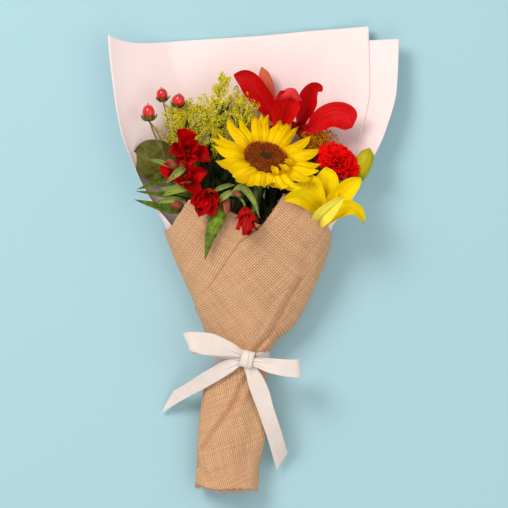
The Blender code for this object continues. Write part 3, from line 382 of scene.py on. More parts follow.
finishes = {
    "jute_burlap": weaveFinish("juteBurlap", {
        "roughness": 0.92, "warp": 380.0, "weft": 370.0, "slub": 0.3, "patch": 26.0, "patchShare": 0.25,
        "deep": srgb(210, 155, 113), "light": srgb(237, 187, 143), "bright": srgb(242, 194, 152),
        # the gap colour is painted shade between the threads
        "gap": srgb(84, 44, 18), "gapShadeShare": 1.0, "relief": 0.0008, "sheen": 0.05}),
    "jute_thread": mottledFinish("juteThread", {
        "roughness": 0.9, "size": 500.0, "deep": srgb(168, 118, 78), "light": srgb(224, 178, 132),
        "relief": 0.0003}),
    "blush_paper": paperFinish("blushPaper", {
        "roughness": 0.85, "light": srgb(250, 230, 228), "deep": srgb(247, 224, 222),
        "shade": srgb(244, 220, 218)}),
    "cream_satin": satinFinish("creamSatin", {
        "roughness": 0.42, "warp": 2600.0, "weft": 900.0,
        "light": srgb(237, 224, 216), "deep": srgb(228, 213, 204), "shade": srgb(221, 203, 192)}),
    "natural_twine": mottledFinish("twineFibre", {
        "roughness": 0.9, "size": 700.0, "deep": srgb(120, 92, 58), "light": srgb(190, 158, 112),
        "relief": 0.0006}),
    "yellow_ray": petalFinish("sunRayYellow", {
        "roughness": 0.55, "lines": 15.0, "streak": 0.7, "light": srgb(255, 226, 0),
        # the orange towards the ray base is painted shade where the rays meet the disc
        "deep": srgb(248, 188, 0), "base": srgb(240, 146, 0), "baseReach": 0.36, "tip": srgb(255, 230, 0),
        "tipShare": 0.6, "specular": 0.06, "shade": 0.3, "shadow": srgb(244, 170, 0), "relief": 0.0008}),
    "seed_disc": mottledFinish("seedBrown", {
        "roughness": 0.75, "size": 420.0, "deep": srgb(74, 18, 6), "light": srgb(150, 44, 6),
        "bright": srgb(226, 110, 20), "toneShare": 0.9, "specular": 0.15, "relief": 0.0003}),
    "seed_core": mottledFinish("seedCore", {
        "roughness": 0.8, "size": 420.0, "deep": srgb(44, 26, 10), "light": srgb(104, 70, 30),
        "bright": srgb(128, 108, 52), "toneShare": 0.8, "specular": 0.15, "relief": 0.0003}),
    # leaf green painted dark as shade, for leaves placed deep between the flowers
    "shaded_leaf": leafFinish("shadedBladeGreen", {
        "roughness": 0.5, "pairs": 10.0, "slant": 0.9, "deep": srgb(20, 32, 6), "light": srgb(58, 74, 18),
        "vein": srgb(78, 94, 32), "veinShare": 0.2, "relief": 0.0003}),
    "brown_twig": mottledFinish("twigBrown", {
        "roughness": 0.6, "size": 160.0, "deep": srgb(92, 62, 30), "light": srgb(140, 116, 58),
        "relief": 0.0003}),
    "green_stem": mottledFinish("stemGreen", {
        "roughness": 0.55, "size": 180.0, "deep": srgb(66, 88, 32), "light": srgb(122, 142, 62),
        "relief": 0.0003}),
    "soft_leaf": leafFinish("leafGreen", {
        "roughness": 0.45, "pairs": 14.0, "slant": 0.9, "deep": srgb(44, 72, 8), "light": srgb(130, 152, 36),
        "vein": srgb(140, 160, 56), "veinShare": 0.25, "relief": 0.0003}),
    "pale_leaf": leafFinish("leafPale", {
        "roughness": 0.45, "pairs": 12.0, "slant": 0.9, "deep": srgb(92, 118, 34),
        "light": srgb(158, 174, 78), "vein": srgb(176, 190, 104), "veinShare": 0.2, "relief": 0.0003}),
    "leathery_leaf": leafFinish("salalGreen", {
        "roughness": 0.4, "pairs": 5.0, "slant": 0.8, "deep": srgb(58, 58, 14), "light": srgb(108, 104, 34),
        "vein": srgb(128, 128, 56), "veinShare": 0.2, "relief": 0.0005}),
    "floret_yellow": mottledFinish("goldenrodYellow", {
        "roughness": 0.7, "size": 260.0, "deep": srgb(110, 130, 18), "light": srgb(196, 190, 34),
        "bright": srgb(255, 236, 58), "toneShare": 0.95, "specular": 0.1, "relief": 0.0003}),
    "floret_bronze": mottledFinish("goldenrodBronze", {
        "roughness": 0.7, "size": 260.0, "deep": srgb(72, 56, 4), "light": srgb(176, 108, 6),
        "bright": srgb(236, 150, 10), "toneShare": 0.9, "specular": 0.1, "relief": 0.0003}),
    "olive_bud": petalFinish("budOlive", {
        "roughness": 0.42, "lines": 16.0, "streak": 0.4, "light": srgb(198, 184, 14),
        "deep": srgb(136, 134, 4), "specular": 0.1, "base": srgb(112, 124, 14), "baseReach": 0.35,
        "shade": 0.3, "shadow": srgb(108, 106, 4), "tip": srgb(172, 156, 14), "tipShare": 0.6,
        "relief": 0.0004}),
    "lily_red": petalFinish("lilyRed", {
        "roughness": 0.42, "lines": 26.0, "streak": 0.6, "light": srgb(232, 14, 20), "deep": srgb(200, 0, 6),
        # the lighter pink tip and rib colours are painted highlights on the petal tips and ridges
        "base": srgb(156, 0, 2), "baseReach": 0.35, "tip": srgb(240, 30, 34), "tipShare": 0.6,
        "rib": srgb(240, 36, 38), "ribShare": 0.35, "shade": 0.45, "shadow": srgb(160, 0, 2),
        "relief": 0.0006, "specular": 0.16}),
    # pink painted as a highlight on the turned-over petal tip
    "lily_pink_highlight": petalFinish("lilyPinkHighlight", {
        "roughness": 0.5, "lines": 18.0, "streak": 0.6, "light": srgb(240, 62, 66), "deep": srgb(220, 34, 40),
        "base": srgb(206, 14, 20), "baseReach": 0.2, "shade": 0.3, "shadow": srgb(200, 20, 26),
        "relief": 0.0005}),
    "lily_pale": petalFinish("lilyPale", {
        "roughness": 0.5, "lines": 20.0, "streak": 0.5, "light": srgb(252, 236, 92),
        "deep": srgb(244, 218, 46), "base": srgb(214, 200, 24), "baseReach": 0.3, "tip": srgb(240, 222, 60),
        "tipShare": 0.4, "specular": 0.1, "rib": srgb(170, 180, 40), "ribShare": 0.9, "shade": 0.2,
        "shadow": srgb(236, 196, 20), "relief": 0.0004}),
    "rust_bud": petalFinish("budRust", {
        "roughness": 0.45, "lines": 16.0, "streak": 0.5, "light": srgb(226, 118, 84),
        "deep": srgb(186, 66, 48), "base": srgb(150, 128, 48), "baseReach": 0.3, "tip": srgb(196, 92, 60),
        "tipShare": 0.7, "shade": 0.3, "shadow": srgb(150, 50, 36), "relief": 0.0004}),
    "lily_yellow": petalFinish("lilyYellow", {
        "roughness": 0.45, "lines": 24.0, "streak": 0.5, "light": srgb(255, 228, 0),
        "deep": srgb(250, 206, 0), "base": srgb(232, 196, 0), "baseReach": 0.25, "tip": srgb(255, 228, 4),
        "tipShare": 0.5, "rib": srgb(226, 200, 16), "ribShare": 0.4, "shade": 0.2,
        "shadow": srgb(242, 186, 0), "relief": 0.0005, "specular": 0.08}),
    "carnation_red": petalFinish("carnationRed", {
        "roughness": 0.75, "lines": 30.0, "streak": 0.4, "light": srgb(255, 6, 6), "deep": srgb(240, 0, 4),
        "specular": 0.08, "base": srgb(176, 0, 0), "baseReach": 0.4, "tip": srgb(255, 24, 20),
        "tipShare": 0.6, "shade": 0.35, "shadow": srgb(200, 0, 0), "relief": 0.0003}),
    "deep_red": petalFinish("alstroRed", {
        "roughness": 0.5, "lines": 22.0, "streak": 0.7, "light": srgb(232, 0, 6), "deep": srgb(192, 0, 2),
        "base": srgb(160, 0, 2), "baseReach": 0.25, "tip": srgb(214, 2, 8), "tipShare": 0.5,
        "shade": 0.5, "shadow": srgb(120, 0, 2), "relief": 0.0005, "specular": 0.12}),
    "inner_streak": petalFinish("alstroInner", {
        "roughness": 0.5, "lines": 14.0, "streak": 0.9, "light": srgb(214, 8, 6), "deep": srgb(130, 0, 4),
        "specular": 0.12, "base": srgb(180, 30, 6), "baseReach": 0.3, "tip": srgb(186, 2, 6), "tipShare": 1.0,
        "shade": 0.3, "shadow": srgb(110, 0, 2), "relief": 0.0004}),
    "striped_bud": petalFinish("budStriped", {
        "roughness": 0.45, "lines": 12.0, "streak": 0.8, "light": srgb(176, 92, 72),
        "deep": srgb(104, 22, 22), "base": srgb(128, 134, 52), "baseReach": 0.4, "tip": srgb(124, 122, 44),
        "tipShare": 0.8, "shade": 0.35, "shadow": srgb(110, 34, 28), "relief": 0.0004}),
    "berry_red": mottledFinish("berryRed", {
        "roughness": 0.22, "size": 70.0, "deep": srgb(196, 10, 22), "light": srgb(226, 34, 40),
        "bright": srgb(240, 70, 66), "toneShare": 0.3, "coat": 0.5, "relief": 0.00008}),
}
print("finishes mixed:", len(finishes))


# ---- mesh helpers ----

def smoothLine(points, count):
    given = [Vector(point) for point in points]
    ends = [2 * given[0] - given[1]] + given + [2 * given[-1] - given[-2]]
    line = []
    for step in range(count):
        place = step / (count - 1) * (len(given) - 1)
        index = min(int(place), len(given) - 2)
        t = place - index
        a, b, c, d = ends[index:index + 4]
        line.append(0.5 * (2 * b + (c - a) * t + (2 * a - 5 * b + 4 * c - d) * t * t
                           + (3 * b - a - 3 * c + d) * t ** 3))
    return line


def ease(stations, place, column=1):  # a smooth, never overshooting curve through the stations
    if place <= stations[0][0]:
        return stations[0][column]
    if place >= stations[-1][0]:
        return stations[-1][column]
    index = min(max(i for i, row in enumerate(stations) if row[0] <= place), len(stations) - 2)
    low, high = stations[index], stations[index + 1]
    span = high[0] - low[0]

    def slope(i):
        if i <= 0 or i >= len(stations) - 1:
            return (high[column] - low[column]) / span
        before, after = stations[i - 1], stations[i + 1]
        riseIn = (stations[i][column] - before[column]) / (stations[i][0] - before[0])
        riseOut = (after[column] - stations[i][column]) / (after[0] - stations[i][0])
        return 0.0 if riseIn * riseOut <= 0 else 2 * riseIn * riseOut / (riseIn + riseOut)

    t = (place - low[0]) / span
    start = low[column] * (1 + 2 * t) * (1 - t) ** 2 + slope(index) * span * t * (1 - t) ** 2
    return start + high[column] * t * t * (3 - 2 * t) - slope(index + 1) * span * t * t * (1 - t)


def newHeap():  # points, faces, uvs and tones of one piece while it is built
    return {"points": [], "faces": [], "uvs": [], "tones": []}


def addPoint(heap, point, clothPlace, tone):
    heap["points"].append(point * mm)
    heap["uvs"].append(clothPlace)
    heap["tones"].append(tone)


def addGrid(heap, columns, rows, place, tone=0.5, uvPlace=None):
    first = len(heap["points"])
    for row in range(rows + 1):
        for column in range(columns + 1):
            across, along = column / columns, row / rows
            clothPlace = uvPlace(across, along) if uvPlace else (across, along)
            addPoint(heap, Vector(place(across, along)), clothPlace, tone)
    for row in range(rows):
        for column in range(columns):
            corner = first + row * (columns + 1) + column
            heap["faces"].append((corner, corner + 1, corner + columns + 2, corner + columns + 1))


def axisFrame(axis, start=(0, 0, 1)):
    axis = Vector(axis).normalized()
    first = Vector(start) - axis * axis.dot(Vector(start))
    if first.length < 0.001:
        first = Vector((1, 0, 0)) - axis * axis.x
    first.normalize()
    return axis, first, axis.cross(first)


def ringWays(first, second, angle):  # outwards and sideways at this angle of a ring
    along, beside = math.cos(angle), math.sin(angle)
    return first * along + second * beside, second * along - first * beside


def addTube(heap, line, radii, sides=6, tone=0.5):
    first = len(heap["points"])
    count = len(line)
    side = None
    for index, point in enumerate(line):
        ahead = (line[min(index + 1, count - 1)] - line[max(index - 1, 0)]).normalized()
        side = axisFrame(ahead, side if side else (0.1, 0.2, 1))[1]
        other = ahead.cross(side)
        radius = radii(index / (count - 1)) if callable(radii) else radii
        for step in range(sides):
            angle = 2 * math.pi * step / sides
            out = (side * math.cos(angle) + other * math.sin(angle)) * radius
            addPoint(heap, point + out, (step / sides, index / (count - 1)), tone)
    for index in range(count - 1):
        for step in range(sides):
            a, b = first + index * sides + step, first + index * sides + (step + 1) % sides
            heap["faces"].append((a, b, b + sides, a + sides))
    heap["faces"].append(tuple(first + step for step in reversed(range(sides))))
    heap["faces"].append(tuple(first + (count - 1) * sides + step for step in range(sides)))


def addBall(heap, centre, axis, radii, around=6, rings=4, tone=0.5, swell=None):
    axis, side, other = axisFrame(axis, (0.3, 0.1, 1))
    centre = Vector(centre)
    first = len(heap["points"])
    addPoint(heap, centre - axis * radii[1], (0.5, 0.0), tone)
    for ring in range(1, rings):
        climb = math.pi * ring / rings
        for step in range(around):
            angle = 2 * math.pi * step / around
            wide = radii[0] * math.sin(climb) * (swell(angle, ring / rings) if swell else 1.0)
            rim = (side * math.cos(angle) + other * math.sin(angle)) * wide
            addPoint(heap, centre - axis * radii[1] * math.cos(climb) + rim,
                     (step / around, ring / rings), tone)
    addPoint(heap, centre + axis * radii[1], (0.5, 1.0), tone)
    top = len(heap["points"]) - 1
    for step in range(around):
        beside = (step + 1) % around
        heap["faces"].append((first, first + 1 + beside, first + 1 + step))
        for ring in range(rings - 2):
            a = first + 1 + ring * around
            heap["faces"].append((a + step, a + beside, a + beside + around, a + step + around))
        a = first + 1 + (rings - 2) * around
        heap["faces"].append((a + step, a + beside, top))


def outline(along, shape):  # half width of a petal or leaf along its length, 0 to 1
    widest = shape["widest"]
    if along < widest:
        return shape["base"] + (1 - shape["base"]) * math.sin(along / widest * math.pi / 2) ** shape["claw"]
    t = (along - widest) / (1 - widest)
    return max(0.03, (1 - t ** shape["blunt"]) ** shape["taper"])


petalShape = {"width": 16, "base": 0.25, "widest": 0.5, "claw": 1.2, "blunt": 2.2, "taper": 0.75, "cup": 0.15,
              "rib": 0.6, "ruffle": 0.0, "waves": 3.0, "phase": 0.0, "roll": 0.0, "grooves": 0.0,
              "serrate": 0.0}


def addPetal(heap, spine, sides, changes, tone=0.5, columns=8, rows=16):
    shape = dict(petalShape, **changes)
    line, edge = smoothLine(spine, rows + 1), smoothLine(sides, rows + 1)
    ahead = [(line[min(i + 1, rows)] - line[max(i - 1, 0)]).normalized() for i in range(rows + 1)]

    def place(across, along):
        row = round(along * rows)
        side = edge[row].normalized()
        side = (side - ahead[row] * side.dot(ahead[row])).normalized()
        up = side.cross(ahead[row])
        half = shape["width"] / 2 * outline(along, shape)
        offset = across * 2 - 1
        swing = math.sin(2 * math.pi * (along * shape["waves"] + shape["phase"]
                                        + (0.37 if offset > 0 else 0.0)))
        lift = half * shape["cup"] * 2 * (offset * offset - 0.3)
        lift -= shape["rib"] * math.exp(-(offset / 0.16) ** 2) * math.sin(math.pi * min(1.0, along * 1.05))
        lift += shape["grooves"] * math.cos(offset * 3.0 * math.pi) * math.sin(math.pi * along)
        lift += shape["ruffle"] * abs(offset) ** 1.6 * swing * min(1.0, along * 3)
        lift += shape["roll"] * half * abs(offset) ** 3
        tooth = 1 + shape["serrate"] * math.sin(along * 60) * abs(offset)
        return line[row] + side * half * offset * tooth + up * lift

    addGrid(heap, columns, rows, place, tone)


def makePiece(name, heap, slot, body="root", replaces=(), thick=0.0, smoothing=0, finish=None):
    mesh = bpy.data.meshes.new(name)
    mesh.from_pydata(heap["points"], [], heap["faces"])
    layer = mesh.uv_layers.new(name="weaveMap")
    corners = [value for loop in mesh.loops for value in heap["uvs"][loop.vertex_index]]
    layer.data.foreach_set("uv", corners)
    tone = mesh.attributes.new("tone", "FLOAT", "POINT")
    tone.data.foreach_set("value", heap["tones"])
    mesh.shade_smooth()
    mesh.materials.append(finishes[finish or slot])
    mesh.update()
    piece = bpy.data.objects.new(name, mesh)
    bpy.context.collection.objects.link(piece)
    if thick:
        skin = piece.modifiers.new("thickness", "SOLIDIFY")
        skin.thickness = thick * mm
        skin.offset = 0.0
    if smoothing:
        rounder = piece.modifiers.new("rounding", "SUBSURF")
        rounder.levels = smoothing
        rounder.render_levels = smoothing
    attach(piece, body)
    if replaces:
        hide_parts(*replaces)
    return piece


def layFloor():
    mesh = bpy.data.meshes.new("studioFloor")
    mesh.from_pydata([(-3, -3, 0), (3, -3, 0), (3, 3, 0), (-3, 3, 0)], [], [(0, 1, 2, 3)])
    material, tree, shader = newFinish("paleFloor", 0.9, 0.1)
    colour = blendShare(tree, mottleOf(tree, 6.0)["Mask"], 0.15, studio["floor"], studio["floorShade"])
    tree.links.new(colour, shader.inputs["Base Color"])
    mesh.materials.append(material)
    floor = bpy.data.objects.new("studioFloor", mesh)
    floor.location.z = -0.0005
    bpy.context.collection.objects.link(floor)


layFloor()
print("floor laid")


# ---- burlap: one square of jute rolled as a cone, its right corner lapped over the front ----

cone = {
    "foot": -276.0, "waist": -122.4, "waistLift": 2.5, "waistSpread": 22.0, "level": 0.46, "swing": 0.54,
    "stations": (  # along the bouquet, left side, right side, height
        (-284.0, -71.5, 6.5, 44.0), (-250.0, -69.0, 8.5, 45.0), (-211.0, -67.5, 17.0, 46.0),
        (-180.0, -64.0, 15.0, 46.0), (-148.0, -58.0, 17.0, 46.0), (-122.4, -46.3, 17.7, 47.0),
        (-102.0, -54.0, 29.0, 50.0), (-80.0, -62.5, 52.0, 56.0), (-50.0, -76.0, 68.5, 65.0),
        (-10.0, -94.0, 86.0, 77.0), (30.0, -109.5, 99.0, 88.0), (80.0, -126.0, 113.0, 96.0)),
}
burlap = {
    "thickness": 1.1, "lapStep": 2.2, "turnStart": -0.30, "turnEnd": 1.10, "columns": 130, "rows": 130,
    "top": 77.0, "cutFrom": -15.0,
    "lapEdge": (  # along the bouquet, turn at which the outer edge lies
        (-280.0, -0.30), (-95.0, -0.30), (-67.0, -0.25), (-54.0, -0.19), (-31.0, -0.10), (-4.0, -0.05),
        (17.0, -0.02), (44.0, 0.029), (77.0, 0.06)),
    "topEdge": (  # turn, how far up the top edge lies
        (-0.30, 77.0), (0.06, 77.0), (0.09, 64.0), (0.12, 54.5), (0.15, 45.5), (0.19, 34.5), (0.25, 17.0),
        (0.35, 26.0), (0.50, 38.0), (0.65, 36.0), (0.77, 32.0), (0.817, 37.0), (0.864, 54.0), (0.90, 70.5),
        (0.94, 65.0), (0.97, 55.0), (1.00, 45.0), (1.10, 22.0)),
    "creases": (  # line on the front, width, depth
        (((56, -25), (43, -46), (32, -68), (20, -89), (5, -108)), 3.6, 4.4),
        (((66, 12), (62, -20), (46, -62), (24, -98)), 7.0, 1.8),
        (((-7, -142), (-26, -182), (-51, -217), (-60, -232)), 4.5, 4.6),
        (((-68, -250), (-51, -270)), 4.0, 3.4),
        (((4, -138), (2, -180), (-6, -225), (-14, -268)), 7.0, 2.0),
        (((-34, -140), (-48, -168), (-58, -200)), 5.0, 2.0),
        (((-44, -108), (-62, -70), (-80, -24)), 6.0, 1.8),
        (((-30, -108), (-44, -70), (-52, -40)), 5.0, 1.6),
        (((-14, -106), (-12, -76), (-6, -44)), 5.5, 1.5),
        (((-2, -106), (12, -78), (26, -48)), 5.0, 1.6)),
    "frayThreads": 210,
    "bias": 0.70, "opening": 2.0, "waistFar": 80.0, "waistRound": 200.0,
    # the cone laid out flat, for the threads
}


def coneFloor(y):
    return cone["waistLift"] * math.exp(-(((y - cone["waist"]) / cone["waistSpread"]) ** 2))


def conePoint(turn, y, inset):  # turn 0 is on top, 0.25 at the right, 0.5 on the table
    angle = math.pi - 2 * math.pi * turn
    left, right, height = (ease(cone["stations"], y, column) for column in (1, 2, 3))
    x = (left + right) / 2 + ((right - left) / 2 - inset) * math.sin(angle)
    z = cone["level"] * height - (cone["swing"] * height - inset) * math.cos(angle)
    return Vector((x, y, max(z, coneFloor(y) + min(inset, 0.6))))


def lineDistance(points, x, y):
    best = 1e9
    for (ax, ay), (bx, by) in zip(points, points[1:]):
        dx, dy = bx - ax, by - ay
        t = max(0.0, min(1.0, ((x - ax) * dx + (y - ay) * dy) / (dx * dx + dy * dy)))
        best = min(best, math.hypot(x - ax - t * dx, y - ay - t * dy))
    return best


def burlapPlace(turn, share):
    foot = cone["foot"] - 4.0 * math.cos(2 * math.pi * (turn - 0.1)) + 1.5 * math.sin(turn * 23)
    top, cutFrom = burlap["top"], burlap["cutFrom"]  # above cutFrom the rows lean towards the top edge
    y0 = foot + (top - foot) * share
    if y0 <= cutFrom:
        return y0
    return cutFrom + (ease(burlap["topEdge"], turn) - cutFrom) * (y0 - cutFrom) / (top - cutFrom)


def burlapPoint(across, along, outward=0.0):
    y0 = cone["foot"] + (burlap["top"] - cone["foot"]) * along
    start = ease(burlap["lapEdge"], y0)
    turn = start + (burlap["turnEnd"] - start) * across
    y = burlapPlace(turn, along)
    inset = burlap["thickness"] / 2 + burlap["lapStep"] * (turn - burlap["turnStart"]) - outward
    near = math.exp(-(((y - cone["waist"]) / 48.0) ** 2))
    inset += near * 1.1 * (0.6 + math.sin(turn * 2 * math.pi * 13 + 1.5 * math.sin(turn * 31)))
    inset += 0.7 * noise.noise(Vector((turn * 9, y * 0.02, 3.0)))
    point = conePoint(turn, y, inset)
    front = 1.0 if -0.22 < turn < 0.22 else (0.8 if turn > 0.8 else 0.0)
    if front and abs(y - cone["waist"]) > 9:
        for line, width, depth in burlap["creases"]:
            gap = lineDistance(line, point.x, point.y) / width
            if gap < 2.6:
                point.z -= front * depth * math.exp(-gap * gap)
                point.z += front * depth * 0.45 * math.exp(-((gap - 1.6) / 0.7) ** 2)
    return point, turn


def roundWalked():  # share of the way round the flattened oval at each degree of turn
    steps = [0.0]
    for index in range(360):
        angle = math.radians(index + 0.5)
        steps.append(steps[-1] + math.hypot(math.cos(angle), 0.42 * math.sin(angle)))
    return [step / steps[-1] for step in steps]


def buildBurlap():
    heap = newHeap()
    walked = roundWalked()

    def cloth(across, along):  # the thread map, in metres of real cloth
        point, turn = burlapPoint(across, along)
        whole = math.floor(turn)
        share = (turn - whole) * 360
        low = min(359, int(share))
        around = whole + walked[low] + (walked[low + 1] - walked[low]) * (share - low)
        if point.y < cone["waist"]:
            around *= burlap["waistRound"]
            return ((around * 0.94 + point.y * 0.34) * mm, (point.y * 0.94 - around * 0.34) * mm)
        angle = burlap["bias"] + burlap["opening"] * around
        far = burlap["waistFar"] + (point.y - cone["waist"]) * 1.03
        return (far * math.sin(angle) * mm, far * math.cos(angle) * mm)

    addGrid(heap, burlap["columns"], burlap["rows"], lambda u, v: burlapPoint(u, v)[0], 0.5, cloth)
    wrap = makePiece("burlapWrap", heap, "jute_burlap", replaces=("burlap_wrap",), thick=burlap["thickness"])
    picker = random.Random(11)
    threads = newHeap()
    for _ in range(burlap["frayThreads"]):
        edge = picker.random()
        if edge < 0.72:  # the raw foot
            across, along, ahead, length = picker.random(), 0.0, Vector((0, -1, 0)), picker.uniform(1.5, 6.5)
        elif edge < 0.88:  # the top edge
            across, along, ahead, length = picker.random(), 1.0, Vector((0, 1, 0)), picker.uniform(0.6, 2.2)
        else:  # the lapped edge
            across, along, ahead = 0.0, picker.uniform(0.55, 1.0), Vector((-1, 0.4, 0))
            length = picker.uniform(0.6, 2.0)
        root = burlapPoint(across, along)[0]
        bend = Vector((picker.uniform(-0.5, 0.5), 0, picker.uniform(-0.35, 0.25)))
        tip = root + (ahead + bend) * length
        tip.z = max(tip.z, 0.4)
        middle = root + (ahead + bend * 0.3) * length * 0.5
        middle.z = max(middle.z, 0.4)
        addTube(threads, smoothLine([root - ahead * 1.5, root, middle, tip], 7), lambda t: 0.34 - 0.14 * t, 4,
                picker.random())
    makePiece("burlapFray", threads, "jute_burlap", finish="jute_thread")


# ---- paper: two stiff blush sheets, the front one inside the back one ----

paper = {
    "thickness": 0.45, "foot": -238.0, "atWaist": 150.0, "clearance": 0.7, "inset": 7.9,
    "columns": 96, "rows": 108,
    "stations": (  # along, left side, right side, left height, right height, wrap left and right
        (28.0, -102.0, 91.5, 86.0, 86.0, 116.0, 116.0), (40.0, -107.5, 96.0, 90.0, 90.0, 112.0, 112.0),
        (58.0, -119.5, 112.5, 95.0, 92.0, 106.0, 105.0), (80.0, -131.5, 124.0, 101.0, 94.0, 99.0, 94.0),
        (120.0, -148.5, 144.5, 128.0, 98.0, 84.0, 76.0), (155.0, -161.0, 160.0, 165.0, 120.0, 72.0, 67.0),
        (206.0, -169.8, 173.4, 230.0, 148.0, 59.0, 59.0), (268.0, -175.8, 175.8, 300.0, 170.0, 52.0, 52.0),
        (284.0, -176.0, 175.8, 306.0, 172.0, 51.0, 51.0)),
    "sheets": (  # piece, node, first and last part of the round, step inwards, top edge
        ("paperFront", "paper_front_sheet", (0.0, 0.875), 1.15,
         ((0.0, 268.8), (0.1, 261.5), (0.14, 260.5), (0.35, 265.0), (0.6, 270.5), (0.8, 277.0),
          (1.0, 281.4))),
        ("paperBack", "paper_back_sheet", (0.125, 1.0), 0.0,
         ((0.0, 250.0), (0.4, 258.0), (0.8, 264.0), (1.0, 265.2)))),
}


def paperWrap(y, side):
    first = paper["stations"][0]
    if y < first[0]:
        share = max(0.0, (y - cone["waist"]) / (first[0] - cone["waist"]))
        return paper["atWaist"] + (first[5 + side] - paper["atWaist"]) * share
    return ease(paper["stations"], y, 5 + side)


def paperPoint(angle, y, step):
    side = 1 if angle >= 0 else 0
    wrap = paperWrap(y, side)
    if y < paper["stations"][0][0]:
        left = ease(cone["stations"], y, 1) + paper["inset"]
        right = ease(cone["stations"], y, 2) - paper["inset"]
        height = ease(cone["stations"], y, 3)
    else:
        left, right = ease(paper["stations"], y, 1), ease(paper["stations"], y, 2)
        height = ease(paper["stations"], y, 3 + side)
    reach = (right - left) / 2 / math.sin(math.radians(min(wrap, 90.0)))
    floor = coneFloor(y) + 1.2 + paper["clearance"]
    level, swing = cone["level"] * height, cone["swing"] * height - paper["inset"]

    def section(degrees):
        bend = math.radians(degrees)
        return Vector(((left + right) / 2 + reach * math.sin(bend),
                       max(floor, level - swing * math.cos(bend))))

    here = section(angle)
    tangent = (section(angle + 1.0) - section(angle - 1.0)).normalized()
    return Vector((here.x - tangent.y * step, y, here.y + tangent.x * step))


def buildPaper():
    for name, node, (first, last), step, top in paper["sheets"]:
        heap = newHeap()

        def place(across, along, first=first, last=last, step=step, top=top):
            y = paper["foot"] + (ease(top, across) - paper["foot"]) * along ** 0.9
            share = first + (last - first) * across
            left, right = paperWrap(y, 0), paperWrap(y, 1)
            point = paperPoint(-left + (left + right) * share, y, step)
            free = max(0.0, min(1.0, (y - 90.0) / 120.0))
            wave = noise.noise(Vector((point.x * 0.012, y * 0.010, 0.5))) * 2.2
            wave += 1.2 * math.sin(point.x * 0.030 + y * 0.022 + 0.5)
            point.z += free * max(-0.8, wave)
            return point

        def flat(across, along, place=place):
            point = place(across, along)
            return (point.x * mm, point.y * mm)

        addGrid(heap, paper["columns"], paper["rows"], place, 0.5, flat)
        sheet = makePiece(name, heap, "blush_paper", replaces=(node,), thick=paper["thickness"])


# ---- ribbon: one satin strip, a band at the waist and a bow of two loops and two tails ----

ribbon = {
    "width": 22.0, "thickness": 0.5, "gap": 0.4, "bandLength": 172.0, "knotLength": 50.0, "knotTurn": -14,
    "knotMiddle": (-8.0, -121.5, 54.0), "gather": 22.0,
    "leftLoop": (
        ((-12, -117, 56), (-22, -112, 59.5), (-34, -108, 62), (-48, -104, 65), (-60, -102.5, 66.5),
         (-72, -101, 66.5), (-79, -101, 63.5), (-80, -102, 59), (-74, -104, 55), (-62, -106, 53),
         (-50, -108, 52.5), (-32, -114, 53), (-14, -119, 54)),
        ((1, 4, 1), (2, 7, 1), (2, 10, 0.5), (1, 13, 0), (0, 13.5, 0), (-3, 12.5, 0), (-4, 11, 0),
         (-4, 10, 0), (-2, 11, 0), (0, 10.5, 0), (1, 10, 0), (2, 7, 0), (1, 4, 0))),
    "rightLoop": (
        ((-3, -124, 56), (6, -126, 59.5), (16, -128.5, 62), (28, -130.5, 64.5), (40, -132, 65.5),
         (51, -132.5, 64), (56, -132.5, 60), (54, -132, 55.5), (46, -131.5, 53), (32, -131, 51.8),
         (14, -129, 52), (-2, -126, 54)),
        ((0, 4, 1), (0, 6, 1), (0, 8.5, 0.5), (-1, 10, 0), (-1, 10.5, 0), (-1.5, 11, 0), (-1.5, 11, 0),
         (-1, 10.5, 0), (-1, 9.5, 0), (-1, 8.5, 0), (0, 6.5, 0), (0, 4, 0))),
    "leftTail": (
        ((-12, -124, 53), (-22, -128, 52.5), (-34, -132.5, 51), (-50, -142, 45.5), (-62, -149, 39),
         (-76, -157.5, 30), (-90, -166, 19.5), (-100, -172, 11), (-105, -175, 6.5)),
        ((3, 5, 1), (2, 8.5, 0.5), (-1, 9.5, 1), (-1.5, 9.5, 2), (-1, 9.5, 3.5), (0.5, 9.5, 3),
         (3, 10.5, 2.5), (6, 12.5, 2), (8, 14, 2))),
    "rightTail": (
        ((-7, -127, 53), (-2, -137, 51.5), (3, -149, 50.5), (9, -164, 49), (14, -180, 46.5), (20, -198, 41),
         (26, -216, 32.5), (31, -234, 22), (35, -248, 12)),
        ((5, 2, 1), (7, 3.5, 0.5), (9, 4.5, 0), (10, 4, 0), (9.5, 2.5, 1), (9.5, 2, 1), (9, 2.5, 1),
         (8, 6, 1), (6.5, 11, 0))),
}


def addStrip(heap, lines, rows, folds=0.0, columns=12, ridge=0.5):
    line, edge = smoothLine(lines[0], rows + 1), smoothLine(lines[1], rows + 1)
    length = [0.0]
    for index in range(rows):
        length.append(length[-1] + (line[index + 1] - line[index]).length)

    def place(across, along):
        index = round(along * rows)
        ahead = (line[min(index + 1, rows)] - line[max(index - 1, 0)]).normalized()
        up = edge[index].cross(ahead).normalized()
        offset = across * 2 - 1
        gathered = max(0.0, 1.0 - length[index] / ribbon["gather"])
        if folds:  # both ends run into the knot
            gathered = max(gathered, 1.0 - (length[-1] - length[index]) / ribbon["gather"])
        lift = gathered * 1.6 * math.cos(offset * 9.0) + ridge * math.sin(offset * 2.2 + length[index] * 0.06)
        lift += 0.5 * noise.noise(Vector((offset * 1.5, length[index] * 0.05, rows * 0.1)))
        return line[index] + edge[index] * offset + up * lift

    def cloth(across, along):
        return (across * ribbon["width"] * mm, length[round(along * rows)] * mm)

    addGrid(heap, columns, rows, place, 0.5, cloth)
    return length[-1]


